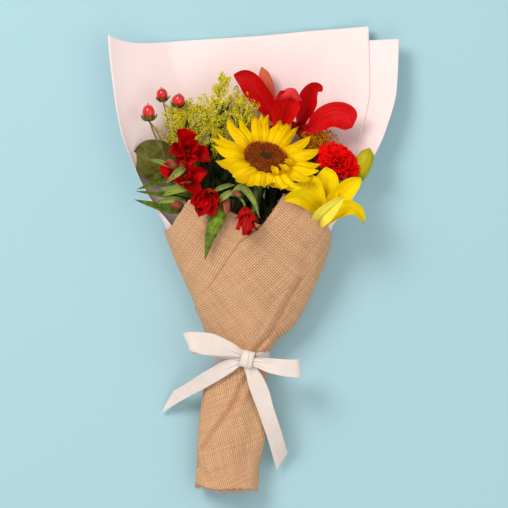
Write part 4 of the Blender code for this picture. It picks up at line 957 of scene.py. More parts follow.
def buildRibbon():
    heap = newHeap()
    total = 0.0

    def band(across, along):
        point = conePoint(across, cone["waist"], -ribbon["gap"] - 0.6)
        front = math.exp(-((min(across, 1 - across) / 0.13) ** 2))
        half = 10.5 - 5.0 * front
        offset = along * 2 - 1
        pleat = 0.7 * math.cos(offset * 8.0 + across * 9) * (0.4 + front)
        middle = Vector(((-46.3 + 17.7) / 2, cone["waist"], 22.0))
        out = (point - middle)
        out.y = 0
        rise = offset * half + 2.0 * math.sin(across * 12) * 0.4
        return point + out.normalized() * (0.5 + pleat * 0.6) + Vector((0, rise, 0))

    def bandCloth(across, along):
        return (along * ribbon["width"] * mm, across * 170 * mm)

    addGrid(heap, 96, 12, band, 0.5, bandCloth)
    total += ribbon["bandLength"]
    for part, rows, folds in (("leftLoop", 44, 1.0), ("rightLoop", 40, 1.0), ("leftTail", 36, 0.0),
                              ("rightTail", 36, 0.0)):
        total += addStrip(heap, ribbon[part], rows, folds)
    middle = Vector(ribbon["knotMiddle"])
    turn = math.radians(ribbon["knotTurn"])

    def knot(across, along):  # the strip laid over the gathered middle
        angle = (along - 0.5) * 2 * math.pi * 0.92
        offset = across * 2 - 1
        crown = 1.0 - 0.28 * offset * offset
        crease = 0.55 * math.cos(offset * 7.5 + 1.2 * math.sin(angle))
        crease += 0.3 * math.sin(offset * 13 + angle * 2)
        y = math.sin(angle) * 10.2 * (0.86 + 0.14 * crown)
        z = math.cos(angle) * 6.2 * crown + crease * max(0.0, math.cos(angle))
        x = offset * (9.0 - 1.6 * math.cos(angle))
        return middle + Vector((x * math.cos(turn) - y * math.sin(turn),
                                x * math.sin(turn) + y * math.cos(turn), z))

    addGrid(heap, 20, 32, knot, 0.5, lambda u, v: (u * ribbon["width"] * mm, v * 50 * mm))
    total += ribbon["knotLength"]
    bow = makePiece("ribbonBow", heap, "cream_satin", replaces=("ribbon_bow",), thick=ribbon["thickness"],
                    smoothing=1)
    print("ribbon length", round(total), "mm")


buildBurlap()
buildPaper()
buildRibbon()
print("burlap, paper and ribbon built")


def photoPlace(px, py, z):  # a point seen in the picture, at this height over the table
    return Vector(((px - 253.5) * 1.2, (258 - py) * 1.2, z))


goldenAngle = 2.39996  # turn from one floret or petal to the next


def randomTurn(picker, axis, degrees):
    return Matrix.Rotation(math.radians(picker.uniform(-degrees, degrees)), 3, axis)


# ---- sunflower ----

sunflower = {
    "centre": Vector((14.5, 119.6, 72.0)), "tilt": 50.0, "lean": 17.0, "discRadius": 27.0,
    "coreRadius": 7.5, "rimRadius": 20.5, "rayStart": 22.5,
    "bend": 28.5, "cup": 10.0, "florets": 600,
    "frontTips": (  # where each ray ends in the picture, its width, how far the tip curls up
        (212.5, 147, 20, 1), (227, 121, 20, 2), (254, 112, 18, 0), (280.8, 117, 21, 1), (293, 117.5, 18, 0),
        (311, 137, 19, 2), (320.5, 149, 21, 3), (318, 173, 23, 4), (302, 191, 22, 6), (288.3, 190.5, 19, 9),
        (272, 184, 17, 11), (259, 189.5, 20, 8), (233.3, 186, 22, 6), (225.8, 172, 21, 4)),
    "backTips": (
        (215, 132.5, 13, 0), (210.8, 138.7, 14, 0), (239, 119.5, 17, 1), (261, 113.7, 15, 0),
        (268, 114.5, 16, 1), (298.5, 126, 16, 0), (321, 164.5, 19, 1), (311, 181, 19, 2), (295.5, 188, 18, 4),
        (279, 192, 17, 5), (246, 190, 15, 6), (215.3, 164, 18, 3)),
}


def sunDirections():
    tilt, lean = math.radians(sunflower["tilt"]), math.radians(sunflower["lean"])
    axis = Vector((math.sin(lean) * math.sin(tilt), math.cos(lean) * math.sin(tilt), math.cos(tilt)))
    return axisFrame(axis, (0, 1, 0))


def discHeight(radius):
    return ease(((0.0, 3.4), (8.0, 3.8), (17.0, 5.2), (23.0, 4.6), (27.5, 1.4)), radius)


def rayTip(px, py, drop, nearest=52.0):  # where this ray ends in the flower's own plane
    axis, first, second = sunDirections()
    centre = sunflower["centre"]
    want = photoPlace(px, py, 0)
    angle, radius = 0.0, 60.0
    for _ in range(12):
        slope = math.tan(math.radians(sunflower["cup"] + 8 * math.cos(angle)))
        height = (radius - sunflower["bend"]) * slope - drop
        dx = want.x - centre.x - axis.x * height
        dy = want.y - centre.y - axis.y * height
        cross = first.x * second.y - first.y * second.x
        a = (dx * second.y - dy * second.x) / cross
        b = (first.x * dy - first.y * dx) / cross
        angle, radius = math.atan2(b, a), math.hypot(a, b)
    return angle, max(nearest, min(71.0, radius)), height


def buildSunflower():
    axis, first, second = sunDirections()
    centre = sunflower["centre"]
    picker = random.Random(5)

    def at(angle, radius, height):
        return centre + axis * height + ringWays(first, second, angle)[0] * radius

    for name, node, tips, drop in (("sunRaysFront", "sunflower_rays_front", sunflower["frontTips"], 1.0),
                                   ("sunRaysBack", "sunflower_rays_back", sunflower["backTips"], 2.4)):
        heap = newHeap()
        for px, py, width, lift in tips:
            angle, reach, height = rayTip(px, py, drop)
            start = sunflower["rayStart"]
            curl = picker.uniform(-1.5, 2.0) + lift * 0.6
            bow = picker.uniform(0.5, 3.5) - (lift * 0.3)
            sway = picker.uniform(-0.05, 0.05)
            spine = [at(angle, start, -drop), at(angle + sway * 0.2, start + 7, -drop + 0.4),
                     at(angle + sway * 0.7, start + (reach - start) * 0.4, -drop + height * 0.45 + bow),
                     at(angle + sway, start + (reach - start) * 0.72, -drop + height * 0.8 + bow * 0.7),
                     at(angle, reach, height + drop + curl - 1.0)]
            around = ringWays(first, second, angle)[1]
            lean = randomTurn(picker, (at(angle, 60, 0) - centre).normalized(), 17)
            sides = [around, around, lean @ around, lean @ around, lean @ lean @ around]
            addPetal(heap, spine, sides, {
                "width": width * picker.uniform(0.95, 1.08), "base": 0.42, "widest": 0.47,
                "claw": 0.9, "blunt": 1.75, "taper": 0.92, "cup": picker.uniform(0.15, 0.45), "rib": 0.7,
                "grooves": 0.4, "ruffle": 1.3, "waves": 1.3, "phase": picker.random(), "roll": 0.12},
                picker.random(), 12, 18)
        makePiece(name, heap, "yellow_ray", replaces=(node,), thick=0.4, smoothing=1)

    heap = newHeap()  # small rays folded over the lower rim of the disc
    for px, py, width in ((286, 166, 11), (279, 171.5, 10), (291.5, 171, 10), (271, 173.5, 9)):
        angle = rayTip(px, py, 0.0)[0]
        around = ringWays(first, second, angle)[1]
        spine = [at(angle + 0.1, 33, 1.5), at(angle + 0.08, 32, 6.0), at(angle, 28, 8.5),
                 at(angle, 22.5, 8.0)]
        addPetal(heap, spine, [around] * 4, {"width": width, "base": 0.5, "blunt": 1.5, "taper": 1.0,
                                             "cup": 0.35, "rib": 0.5, "ruffle": 0.6, "phase": px},
                                             picker.random(), 8, 12)
    makePiece("sunRaysFolded", heap, "yellow_ray", thick=0.4, smoothing=1)

    core, florets = newHeap(), newHeap()
    rim, sunk = sunflower["discRadius"], 1.6
    addGrid(core, 40, 12, lambda u, v: at(2 * math.pi * u, rim * v, discHeight(rim * v) - sunk), 0.2)
    addGrid(core, 40, 2, lambda u, v: at(2 * math.pi * u, rim - 1.5 * v,
                                         discHeight(rim) - sunk - 2.2 * v), 0.2)
    count = sunflower["florets"]
    for index in range(count):
        radius = rim * math.sqrt((index + 0.5) / count)
        angle = index * goldenAngle
        point = at(angle, radius, discHeight(radius))
        lean = (axis + (point - centre).normalized() * (0.15 + 0.5 * (radius / rim) ** 3)).normalized()
        if radius < sunflower["coreRadius"]:  # tight green-black middle
            addBall(core, point - axis * 0.6, lean, (0.62, 1.3), 5, 3, picker.uniform(0.0, 0.25))
        else:
            outer = radius > sunflower["rimRadius"]
            tall = picker.uniform(1.7, 2.6) if outer else picker.uniform(1.4, 2.2)
            tone = picker.choice((0.1, 0.35, 0.85 if outer else 0.6, 0.25))
            addBall(florets, point - axis * 0.4, lean, (0.62, tall), 5, 3, tone)
            if index % 2 == 0 or radius > 22:  # curled anther tips catch the light
                addBall(florets, point + lean * (tall - 0.3), lean, (0.42, 0.55), 5, 3, 1.0)
    makePiece("sunDisc", core, "seed_disc", replaces=("sunflower_disc",), finish="seed_core")
    makePiece("sunFlorets", florets, "seed_disc")

    bracts = newHeap()
    for ring, (count, start, reach) in enumerate(((13, 21.0, 35.0), (13, 15.0, 29.0))):
        for index in range(count):
            angle = 2 * math.pi * (index + 0.5 * ring) / count
            around = ringWays(first, second, angle)[1]
            droop = picker.uniform(-2.0, 1.0)
            spine = [at(angle, start, -6.2 - ring * 4.0), at(angle, start + 7, -5.4 - ring * 3.4),
                     at(angle, reach - 4, -6.0 - ring * 2.6 + droop),
                     at(angle, reach, -7.5 - ring * 2 + droop * 2)]
            addPetal(bracts, spine, [around] * 4, {"width": 8.5, "base": 0.7, "widest": 0.3, "blunt": 1.3,
                                                    "taper": 1.0, "rib": 0.4, "cup": 0.2},
                                                    picker.random(), 4, 8)
    makePiece("sunBracts", bracts, "soft_leaf", thick=0.5)


# ---- lilies ----

def lilyStart(end, axis, lift, turn):
    axis, first, second = axisFrame(axis, (0, 0, 1))
    angle = math.radians(turn)
    out, around = ringWays(first, second, angle)
    near, far = (3.2, 9.0) if turn % 120 else (2.4, 5.8)
    end = Vector(end)
    return [end + axis * lift + out * near, end + axis * 9.0 + out * far], around


redLily = {
    "shapes": {
        "redLilyLeft": {"widest": 0.68, "blunt": 3.0},
        "redLilyFold": {"widest": 0.8, "blunt": 4.5, "base": 0.3},
        "redLilyRight": {"widest": 0.74, "blunt": 3.0, "base": 0.14}},
    "end": (42.0, 153.0, 16.0), "axis": (0.12, 0.95, 0.3), "lift": 1.15,
    "petals": (  # piece, node, turn, spine, side directions, width, ruffle, cup
        ("redLilyLeft", "red_lily_petal_1", 300,
         ((28, 168, 18), (17, 184, 23), (4, 202, 32), (-9, 216, 40), (-24, 221, 44)),
         ((0.8, 0.5, 0.1), (0.8, 0.55, 0.1), (0.75, 0.65, 0.2), (0.5, 0.85, 0.2), (0.2, 1, 0.1)), 28,
         1.4, 0.4),
        ("redLilyFold", "red_lily_petal_2", 0,
         ((33, 160, 28), (35, 171, 38), (37, 181, 47), (40, 191, 54), (45, 198, 56)),
         ((1, -0.1, 0), (1, 0.0, 0.1), (1, 0.2, 0.2), (0.9, 0.45, 0.1), (0.88, 0.48, 0)), 33, 1.2, 0.5),
        ("redLilyTop", "red_lily_petal_3", 120,
         ((57, 163, 22), (61, 176, 29), (65.5, 189, 39), (70, 199.5, 47), (78, 204.5, 53), (82.5, 200, 54)),
         ((1, -0.3, 0.2), (1, -0.3, 0.1), (1, -0.35, 0), (0.8, -0.6, 0), (0.3, -1, 0), (0, -1, 0)), 24,
         1.2, 0.5),
        ("redLilyRight", "red_lily_petal_4", 60,
         ((68, 157, 30), (82, 165, 39), (95.5, 170.5, 48), (108.5, 168, 49), (120, 158, 42)),
         ((0.4, -0.9, 0), (0.3, -0.95, 0.1), (0, -1, 0.2), (-0.35, -0.93, 0.2), (-0.5, -0.87, 0.1)), 33,
         2.6, 0.4),
        ("redLilyUnderLeft", "red_lily_petal_5", 240,
         ((25, 154, 14), (12, 150, 12.5), (0, 148, 12), (-10, 147, 13)),
         ((0.2, -1, 0), (0.1, -1, 0), (0, -1, 0), (0, -1, 0)), 22, 0.6, 0.2),
        ("redLilyUnderRight", "red_lily_petal_6", 180,
         ((56, 157, 11), (68, 150, 11), (79, 143, 12), (88, 137, 14)),
         ((-0.7, -0.7, 0), (-0.7, -0.7, 0), (-0.7, -0.7, 0), (-0.7, -0.7, 0)), 20, 0.6, 0.2)),
}
yellowLily = {
    "end": (74.0, 35.0, 50.0), "axis": (0.35, 0.72, 0.6), "lift": 1.5,
    "shapes": {
        "yellowLilyBack": {"blunt": 3.0}, "yellowLilyLeftBack": {"blunt": 3.4, "base": 0.3},
        "yellowLilyUpRight": {"blunt": 2.7, "base": 0.35},
        "yellowLilyFront": {"blunt": 2.0, "base": 0.3, "widest": 0.5}},
    "petals": (
        ("yellowLilyBack", "yellow_lily_petal_1", 180,
         ((81, 56, 56), (85, 76, 61), (88, 93, 64), (86, 109, 62)),
         ((1, 0, 0), (1, 0, 0.1), (1, 0, 0.1), (1, 0, 0)), 33, 1.4, 0.3),
        ("yellowLilyLeftBack", "yellow_lily_petal_2", 240,
         ((74, 52, 60), (69, 68, 68), (66, 85, 72), (64, 101, 69)),
         ((1, 0.1, 0), (1, 0.1, 0), (1, 0.1, 0), (1, 0.1, 0)), 36, 1.6, 0.25),
        ("yellowLilyUpRight", "yellow_lily_petal_3", 120,
         ((90, 54, 62), (102, 70, 69), (115, 84, 73), (129, 96, 70)),
         ((0.7, -0.7, 0), (0.7, -0.7, 0.1), (0.7, -0.7, 0.1), (0.7, -0.7, 0)), 25, 1.0, 0.4),
        ("yellowLilyFront", "yellow_lily_petal_4", 0,
         ((80, 47, 84), (88, 55, 91), (97, 63.5, 95), (109, 73.5, 92)),
         ((0.7, -0.6, 0), (0.7, -0.6, 0), (0.7, -0.6, 0), (0.7, -0.6, 0)), 21, 0.7, 0.3),
        ("yellowLilyCurled", "yellow_lily_petal_5", 60,
         ((88, 44, 70), (100, 54.5, 79), (113, 60, 82.5), (125, 56, 77), (133, 41.5, 66)),
         ((0.5, -0.7, 0), (0.3, -0.9, 0.1), (0, -1, 0.1), (-0.5, -0.8, 0), (-0.9, -0.3, 0)), 18, 0.9, 0.3),
        ("yellowLilyHanging", "yellow_lily_petal_6", 300,
         ((76, 56, 66), (70, 63, 76), (62, 70, 87), (53, 73, 95), (45, 72, 99), (36.5, 68, 100)),
         ((0.7, 0.7, 0), (0.6, 0.8, 0), (0.4, 0.9, 0), (0.2, 1, 0), (0.1, 1, 0), (-0.1, 1, 0)), 22,
         1.6, 0.3)),
}


def buildLily(lily, slot, seed):
    picker = random.Random(seed)
    for name, node, turn, spine, sides, width, ruffle, cup in lily["petals"]:
        heap = newHeap()
        start, around = lilyStart(lily["end"], lily["axis"], lily["lift"], turn)
        addPetal(heap, start + list(spine), [around, around] + list(sides), {
            "width": width, "base": 0.09, "widest": 0.6, "claw": 2.6, "blunt": 2.0, "taper": 0.85, "cup": cup,
            "rib": 1.1, "ruffle": ruffle, "waves": 2.6, "phase": picker.random(), "grooves": 0.12,
            **lily["shapes"].get(name, {})}, picker.uniform(0.35, 0.9), 14, 30)
        makePiece(name, heap, slot, replaces=(node,), thick=0.5, smoothing=1,
                  finish="lily_pale" if name == "yellowLilyFront" else slot)


def buildFoldedTip():  # the strip of red petal that turns over; its back is painted pink as a highlight
    heap = newHeap()
    spine = [photoPlace(273.5, 100.5, 56), photoPlace(283, 95.5, 61), photoPlace(293, 93.5, 63.5),
             photoPlace(302, 101, 59)]
    addPetal(heap, spine, [(-0.3, 1, 0.2)] * 4,
             {"width": 12.5, "base": 0.25, "widest": 0.6, "blunt": 1.8, "cup": 0.5,
                                                 "rib": 0.2, "ruffle": 1.2, "waves": 2.2}, 0.9, 10, 20)
    makePiece("redLilyFoldTip", heap, "lily_red", thick=0.5, smoothing=1, finish="lily_pink_highlight")


def budSwell(t):
    body = 0.35 + 0.65 * math.sin(math.pi * min(1.0, 0.12 + t * 0.8)) ** 0.8
    return body * (1 - 0.8 * max(0.0, (t - 0.8) / 0.2) ** 2)


def addBud(heap, route, radius, lobes, tone, rows=22, sides=24):
    line = smoothLine(route, rows + 1)
    side = None
    frames = []
    for index in range(rows + 1):
        ahead = (line[min(index + 1, rows)] - line[max(index - 1, 0)]).normalized()
        side = axisFrame(ahead, side if side else (0.1, 0.2, 1))[1]
        frames.append((side, ahead.cross(side)))

    def place(across, along):
        index = round(along * rows)
        angle = 2 * math.pi * across
        seam = abs(math.sin(lobes * angle / 2 + along * 0.6))
        wide = radius * budSwell(along) * (0.84 + 0.18 * seam ** 0.5)
        first, second = frames[index]
        return line[index] + (first * math.cos(angle) + second * math.sin(angle)) * wide

    addGrid(heap, sides, rows, place, tone)


def buildBuds():
    for name, node, slot, route, radius, lobes in (
            ("redLilyBud", "red_lily_bud", "rust_bud",
             ((21.6, 186.4, 12.6), (19, 200, 14.5), (15, 215, 17), (10, 231, 22)), 8.4, 3),
            ("greenLilyBud", "lily_green_bud", "olive_bud",
             ((124.6, 95.6, 38.3), (129, 106, 42), (134.5, 119, 45), (140, 132, 46)), 10.8, 2),
            ("alstroBudUpper", "alstroemeria_bud_1", "striped_bud",
             ((-92, 107, 74), (-97, 112, 78), (-103, 118, 78)), 4.3, 3),
            ("alstroBudLeft", "alstroemeria_bud_2", "striped_bud",
             ((-84.9, 62.1, 64.0), (-92, 63.5, 66.5), (-101, 66, 67)), 5.6, 3),
            ("alstroBudMiddle", "alstroemeria_bud_3", "striped_bud",
             ((-32.2, 71.3, 93.9), (-32, 62, 98.5), (-32, 51, 101)), 4.8, 3),
            ("alstroBudRight", "alstroemeria_bud_4", "striped_bud",
             ((-22, 77.4, 100.2), (-20, 77, 105), (-15, 73, 110)), 3.6, 3)):
        heap = newHeap()
        addBud(heap, route, radius, lobes, 0.6)
        makePiece(name, heap, slot, replaces=(node,))


# ---- carnation ----

carnation = {"base": Vector((100.0, 109.5, 30.0)), "axis": Vector((0.1, 0.3, 0.95)).normalized(),
             "radii": (28.5, 20.0), "slant": -36.0, "dome": 15.0, "under": 8.0, "petals": 70}


def buildCarnation():
    picker = random.Random(9)
    turn = Vector((0, 0, 1)).rotation_difference(carnation["axis"])
    middle = carnation["base"] + carnation["axis"] * (11.5 + carnation["under"])
    heap = newHeap()
    count = carnation["petals"]
    for index in range(count):
        height = 1.0 - 1.18 * (index + 0.5) / count
        angle = index * goldenAngle + picker.uniform(-0.2, 0.2)
        flat = math.sqrt(max(0.0, 1 - height * height))
        reach = Vector((math.cos(angle) * flat * carnation["radii"][0],
                        math.sin(angle) * flat * carnation["radii"][1],
                        height * (carnation["dome"] if height > 0 else carnation["under"])))
        reach = Matrix.Rotation(math.radians(carnation["slant"]), 3, "Z") @ reach * picker.uniform(0.8, 1.06)
        tip = middle + turn @ reach
        root = middle - carnation["axis"] * 5.0 + (turn @ reach) * 0.22
        out = (tip - root).normalized()
        around = Matrix.Rotation(picker.uniform(-0.9, 0.9), 3, out) @ axisFrame(out,
            carnation["axis"].cross(out))[1]
        normal = out.cross(around)
        wide = picker.uniform(7.0, 11.5)
        phase, waves = picker.uniform(0, 6.28), picker.uniform(5.0, 8.0)
        length = (tip - root).length

        def place(across, along):
            offset = across * 2 - 1
            fan = 0.25 + 0.75 * along ** 1.3
            far = length * along * (1 - 0.16 * offset * offset * along)
            if along > 0.99:
                far += 1.2 * math.sin(across * 38 + phase)  # the toothed rim
            frill = (2.4 * math.sin(offset * waves + phase) + 1.0
                     * math.sin(offset * waves * 2.1)) * along ** 2.5
            lift = frill + 1.6 * offset * offset * along
            return root + out * far + around * wide * offset * fan + normal * lift

        addGrid(heap, 22, 9, place, picker.random())
    makePiece("carnationBloom", heap, "carnation_red", replaces=("carnation_bloom",), thick=0.3)


# ---- alstroemeria ----

alstroemeria = {
    "blooms": (  # piece, node, base, axis, petals: where each ends in the picture, its height and width
        ("alstroBloomTop", "alstroemeria_bloom_1", (-79, 129.2, 52), (0.02, 0.3, 0.95), (
            (178, 129.5, 70, 24), (168, 152.5, 67, 19), (190, 167, 72, 18), (210.5, 162, 66, 21),
            (199, 142, 74, 17), (177, 164, 66, 15))),
        ("alstroBloomLeft", "alstroemeria_bloom_2", (-82, 99, 66.8), (-0.05, 0.05, 1.0), (
            (159.5, 167, 73, 20), (166, 178, 76, 16), (181, 186.5, 83, 20), (202.5, 194, 80, 18),
            (207.5, 172, 77, 20), (188, 163, 80, 15))),
        ("alstroBloomMiddle", "alstroemeria_bloom_3", (-53, 78.5, 88.5), (-0.1, -0.35, 0.93), (
            (191, 204, 98, 20), (199, 217.5, 100, 19), (213, 217, 101, 18), (221.5, 204, 100, 19),
            (206, 191, 104, 17), (217.5, 222, 92, 10))),
        ("alstroBloomLow", "alstroemeria_bloom_4", (-10, 61.2, 104), (0.08, -1.0, 0.02), (
            (236, 230, 100, 15), (243, 236, 108, 15), (249, 236.5, 100, 13), (258, 231, 103, 15),
            (259, 221, 110, 13), (236, 219, 109, 13)))),
}


def buildAlstroemeria():
    picker = random.Random(23)
    for name, node, base, axis, petals in alstroemeria["blooms"]:
        axis, first, second = axisFrame(axis, (0, 0.3, 1))
        base = Vector(base)
        outer, inner, threads = newHeap(), newHeap(), newHeap()
        for index, (px, py, z, width) in enumerate(petals):
            tip = photoPlace(px, py, z)
            out = tip - base
            reach = out.length
            across = out.cross(axis).normalized()
            if across.length < 0.5:
                across = first
            across = randomTurn(picker, out.normalized(), 22) @ across
            wide = index % 2 == 0
            start = base + (out - axis * out.dot(axis)).normalized() * 1.6
            spine = [start, start + out * 0.28 + axis * reach * 0.10, base + out * 0.65 + axis * reach * 0.13,
                     tip + axis * picker.uniform(-1.5, 0.5)]
            addPetal(outer if wide else inner, spine, [across] * 4, {
                "width": width * 1.06, "base": 0.22, "widest": 0.56, "claw": 1.2,
                "blunt": 1.75 if wide else 1.5, "taper": 0.9 if wide else 1.0,
                "cup": picker.uniform(0.25, 0.6), "rib": 1.3, "ruffle": picker.uniform(1.8, 2.8),
                "waves": 2.4, "phase": picker.random()}, picker.uniform(0.2, 0.9), 12, 18)
        height = 15.0
        for index in range(5):
            angle = picker.uniform(0, 6.28)
            out = ringWays(first, second, angle)[0]
            tip = base + axis * height * picker.uniform(0.7, 1.0) + out * picker.uniform(2.0, 6.0)
            addTube(threads, smoothLine([base + axis, base + axis * height * 0.5 + out * 1.2, tip], 8),
                    0.35, 5, 0.4)
            addBall(threads, tip, out + axis, (0.6, 1.2), 6, 4, 0.1)
        makePiece(name, outer, "deep_red", replaces=(node,), thick=0.4, smoothing=1)
        makePiece(name + "Inner", inner, "deep_red", thick=0.4, smoothing=1, finish="inner_streak")
        makePiece(name + "Stamens", threads, "deep_red")


# ---- leaves ----

leaves = (  # piece, node, spine, side directions, width, sideways cup
    ("leafTopLeft", "alstroemeria_leaf_1", ((-88, 103.4, 56.6), (-103, 98, 60), (-121, 89, 64),
                                            (-140, 82, 67)),
     ((0, 1, 0.2),) * 4, 9.5, 0.3),
    ("leafLongLeft", "alstroemeria_leaf_2", ((-70.8, 70.6, 51.8), (-92, 74, 56), (-116, 77, 60),
                                             (-141, 80, 61)),
     ((0, 1, -0.2),) * 4, 8.5, 0.3),
    ("leafDarkLeft", "alstroemeria_leaf_3", ((-69.2, 58.5, 50.0), (-92, 59, 54), (-116, 63, 61),
                                             (-143, 70, 65)),
     ((0, 1, 0.1),) * 4, 13, 0.25),
    ("leafBroad", "alstroemeria_leaf_4", ((-72.8, 76, 50.2), (-82, 80, 59), (-96, 83, 65), (-112, 81, 68)),
     ((0.1, 1, 0),) * 4, 15, 0.25),
    ("leafUpper", "alstroemeria_leaf_5", ((-81.0, 108, 74), (-88, 104, 82), (-96, 97, 82), (-105, 89, 76)),
     ((-0.5, 1, 0),) * 4, 9.0, 0.4),
    ("leafHanging", "alstroemeria_leaf_6", ((-39.6, 66.6, 86.5), (-41, 53, 96), (-51, 28, 92), (-58, -2, 79)),
     ((1, 0, 0.1), (1, 0, 0.1), (1, 0.2, 0.2), (0.9, 0.3, 0.4)), 20, 0.3),
    ("leafCurved", "alstroemeria_leaf_7", ((-27.5, 76.6, 96.0), (-14, 84, 98), (-1, 69, 104), (7.5, 47, 104)),
     ((0, 1, 0), (0.3, 1, 0), (0.7, 0.6, 0.2), (1, 0.3, 0.2)), 9.5, 0.3),
)
salalLeaf = {
    "spine": ((-99, 104, 34), (-110, 112, 37), (-122, 118, 40), (-134, 123, 41), (-145, 126, 40)),
    "sides": ((0.5, 0.9, -0.2), (0.45, 0.9, -0.25), (0.4, 0.9, -0.25), (0.35, 0.9, -0.2), (0.3, 0.9, -0.1)),
    "width": 52,
}


def buildLeaves():
    picker = random.Random(31)
    for name, node, spine, sides, width, cup in leaves:
        heap = newHeap()
        addPetal(heap, spine, sides, {"width": width, "base": 0.14, "widest": 0.42, "claw": 1.0, "blunt": 1.5,
                                      "taper": 1.0, "cup": cup, "rib": 0.5, "ruffle": 0.4, "waves": 1.6,
                                      "phase": picker.random()}, picker.uniform(0.0, 0.9), 10, 24)
        pale = name in ("leafBroad", "leafUpper", "leafCurved")
        makePiece(name, heap, "soft_leaf", replaces=(node,), thick=0.45, smoothing=1,
                  finish="pale_leaf" if pale else "soft_leaf")
    heap = newHeap()  # small pale leaves round the lower blooms
    for (ax, ay), (bx, by), low, high, width in (
            ((198, 184), (163, 196), 66, 74, 12), ((192, 197), (160, 189), 64, 73, 9),
            ((186, 200), (156, 203), 62, 70, 8), ((212, 193), (235, 185.5), 90, 96, 6),
            ((218, 203), (234, 192), 96, 104, 8), ((176, 170), (150, 160), 70, 73, 6)):
        near, far = photoPlace(ax, ay, low), photoPlace(bx, by, high)
        around = (far - near).cross(Vector((0, 0, 1))).normalized() + Vector((0, 0,
                                                                              picker.uniform(-0.3, 0.3)))
        spine = [near, near.lerp(far, 0.35) + Vector((0, 2, 5)), near.lerp(far, 0.7) + Vector((0, 2, 4)), far]
        addPetal(heap, spine, [around] * 4, {"width": width, "base": 0.16, "widest": 0.42, "blunt": 1.5,
                                             "cup": 0.35, "rib": 0.5, "ruffle": 0.5},
                                             picker.uniform(0.8, 1.0), 8, 16)
    makePiece("alstroLeafSmall", heap, "soft_leaf", thick=0.4, smoothing=1, finish="pale_leaf")
    foliage = newHeap()  # the leaves seen deep between the flowers, their green painted dark as shade
    for x0, x1, y0, y1, count in ((-68, -18, 68, 112, 75), (-30, 38, 18, 68, 72), (58, 96, 72, 104, 16)):
        for _ in range(count):
            root = Vector((picker.uniform(x0, x1), picker.uniform(y0, y1), picker.uniform(7, 30)))
            ahead = Vector((picker.uniform(-0.5, 0.5), 1.0, picker.uniform(0.0, 0.35))).normalized()
            length = picker.uniform(24, 38)
            around = randomTurn(picker, ahead, 50) @ ahead.cross(Vector((0, 0, 1))).normalized()
            lift = Vector((0, 0, 2))
            spine = [root, root + ahead * length * 0.35 + lift, root + ahead * length * 0.7 + lift,
                     root + ahead * length]
            addPetal(foliage, spine, [around] * 4,
                     {"width": picker.uniform(6, 10), "base": 0.25, "widest": 0.45,
                                                    "blunt": 1.4, "cup": 0.25, "rib": 0.3},
                                                    picker.uniform(0, 0.5), 6, 8)
    makePiece("alstroFoliage", foliage, "soft_leaf", thick=0.3, finish="shaded_leaf")
    heap = newHeap()
    addPetal(heap, salalLeaf["spine"], salalLeaf["sides"], {
        "width": salalLeaf["width"], "base": 0.2, "widest": 0.42, "claw": 0.8, "blunt": 2.3, "taper": 0.75,
        "cup": 0.16, "rib": 1.2, "ruffle": 1.8, "waves": 1.6, "phase": 0.3}, 0.4, 16, 28)
    makePiece("salalLeaf", heap, "leathery_leaf", replaces=("salal_leaf",), thick=0.6, smoothing=1)


# ---- hypericum berries ----

berries = (  # piece, berry node, calyx node, centre, radii, direction of the tip
    ("berryLeft", "hypericum_berry_1", "hypericum_calyx_1", (-126, 175, 55), (7.6, 9.4), (-0.08, 1.0, 0.1)),
    ("berryMiddle", "hypericum_berry_2", "hypericum_calyx_2", (-110, 197, 47), (6.9, 7.6), (-0.1, 0.9, 0.4)),
    ("berryRight", "hypericum_berry_3", "hypericum_calyx_3", (-90, 190, 50), (7.5, 7.8), (0.1, 0.8, 0.5)),
)


berryStalks = (  # route, radius; the first one starts at the tie
    (((-30, -60, 24), (-72, 20, 34), (-96, 80, 45), (-107, 124, 51), (-117, 144, 53),
      (-125, 164.5, 54)), 1.2),
    (((-97, 83, 45.2), (-96, 106, 28), (-101, 136, 18), (-104, 166, 26), (-109.3, 189.6, 43.6)), 0.8),
    (((-101, 136, 18), (-97, 150, 13), (-93, 170, 22), (-91, 183, 45.4)), 0.8),
    (((-109, 128, 51), (-113, 145, 49), (-120, 158, 50), (-126.5, 165, 54)), 0.7),
)


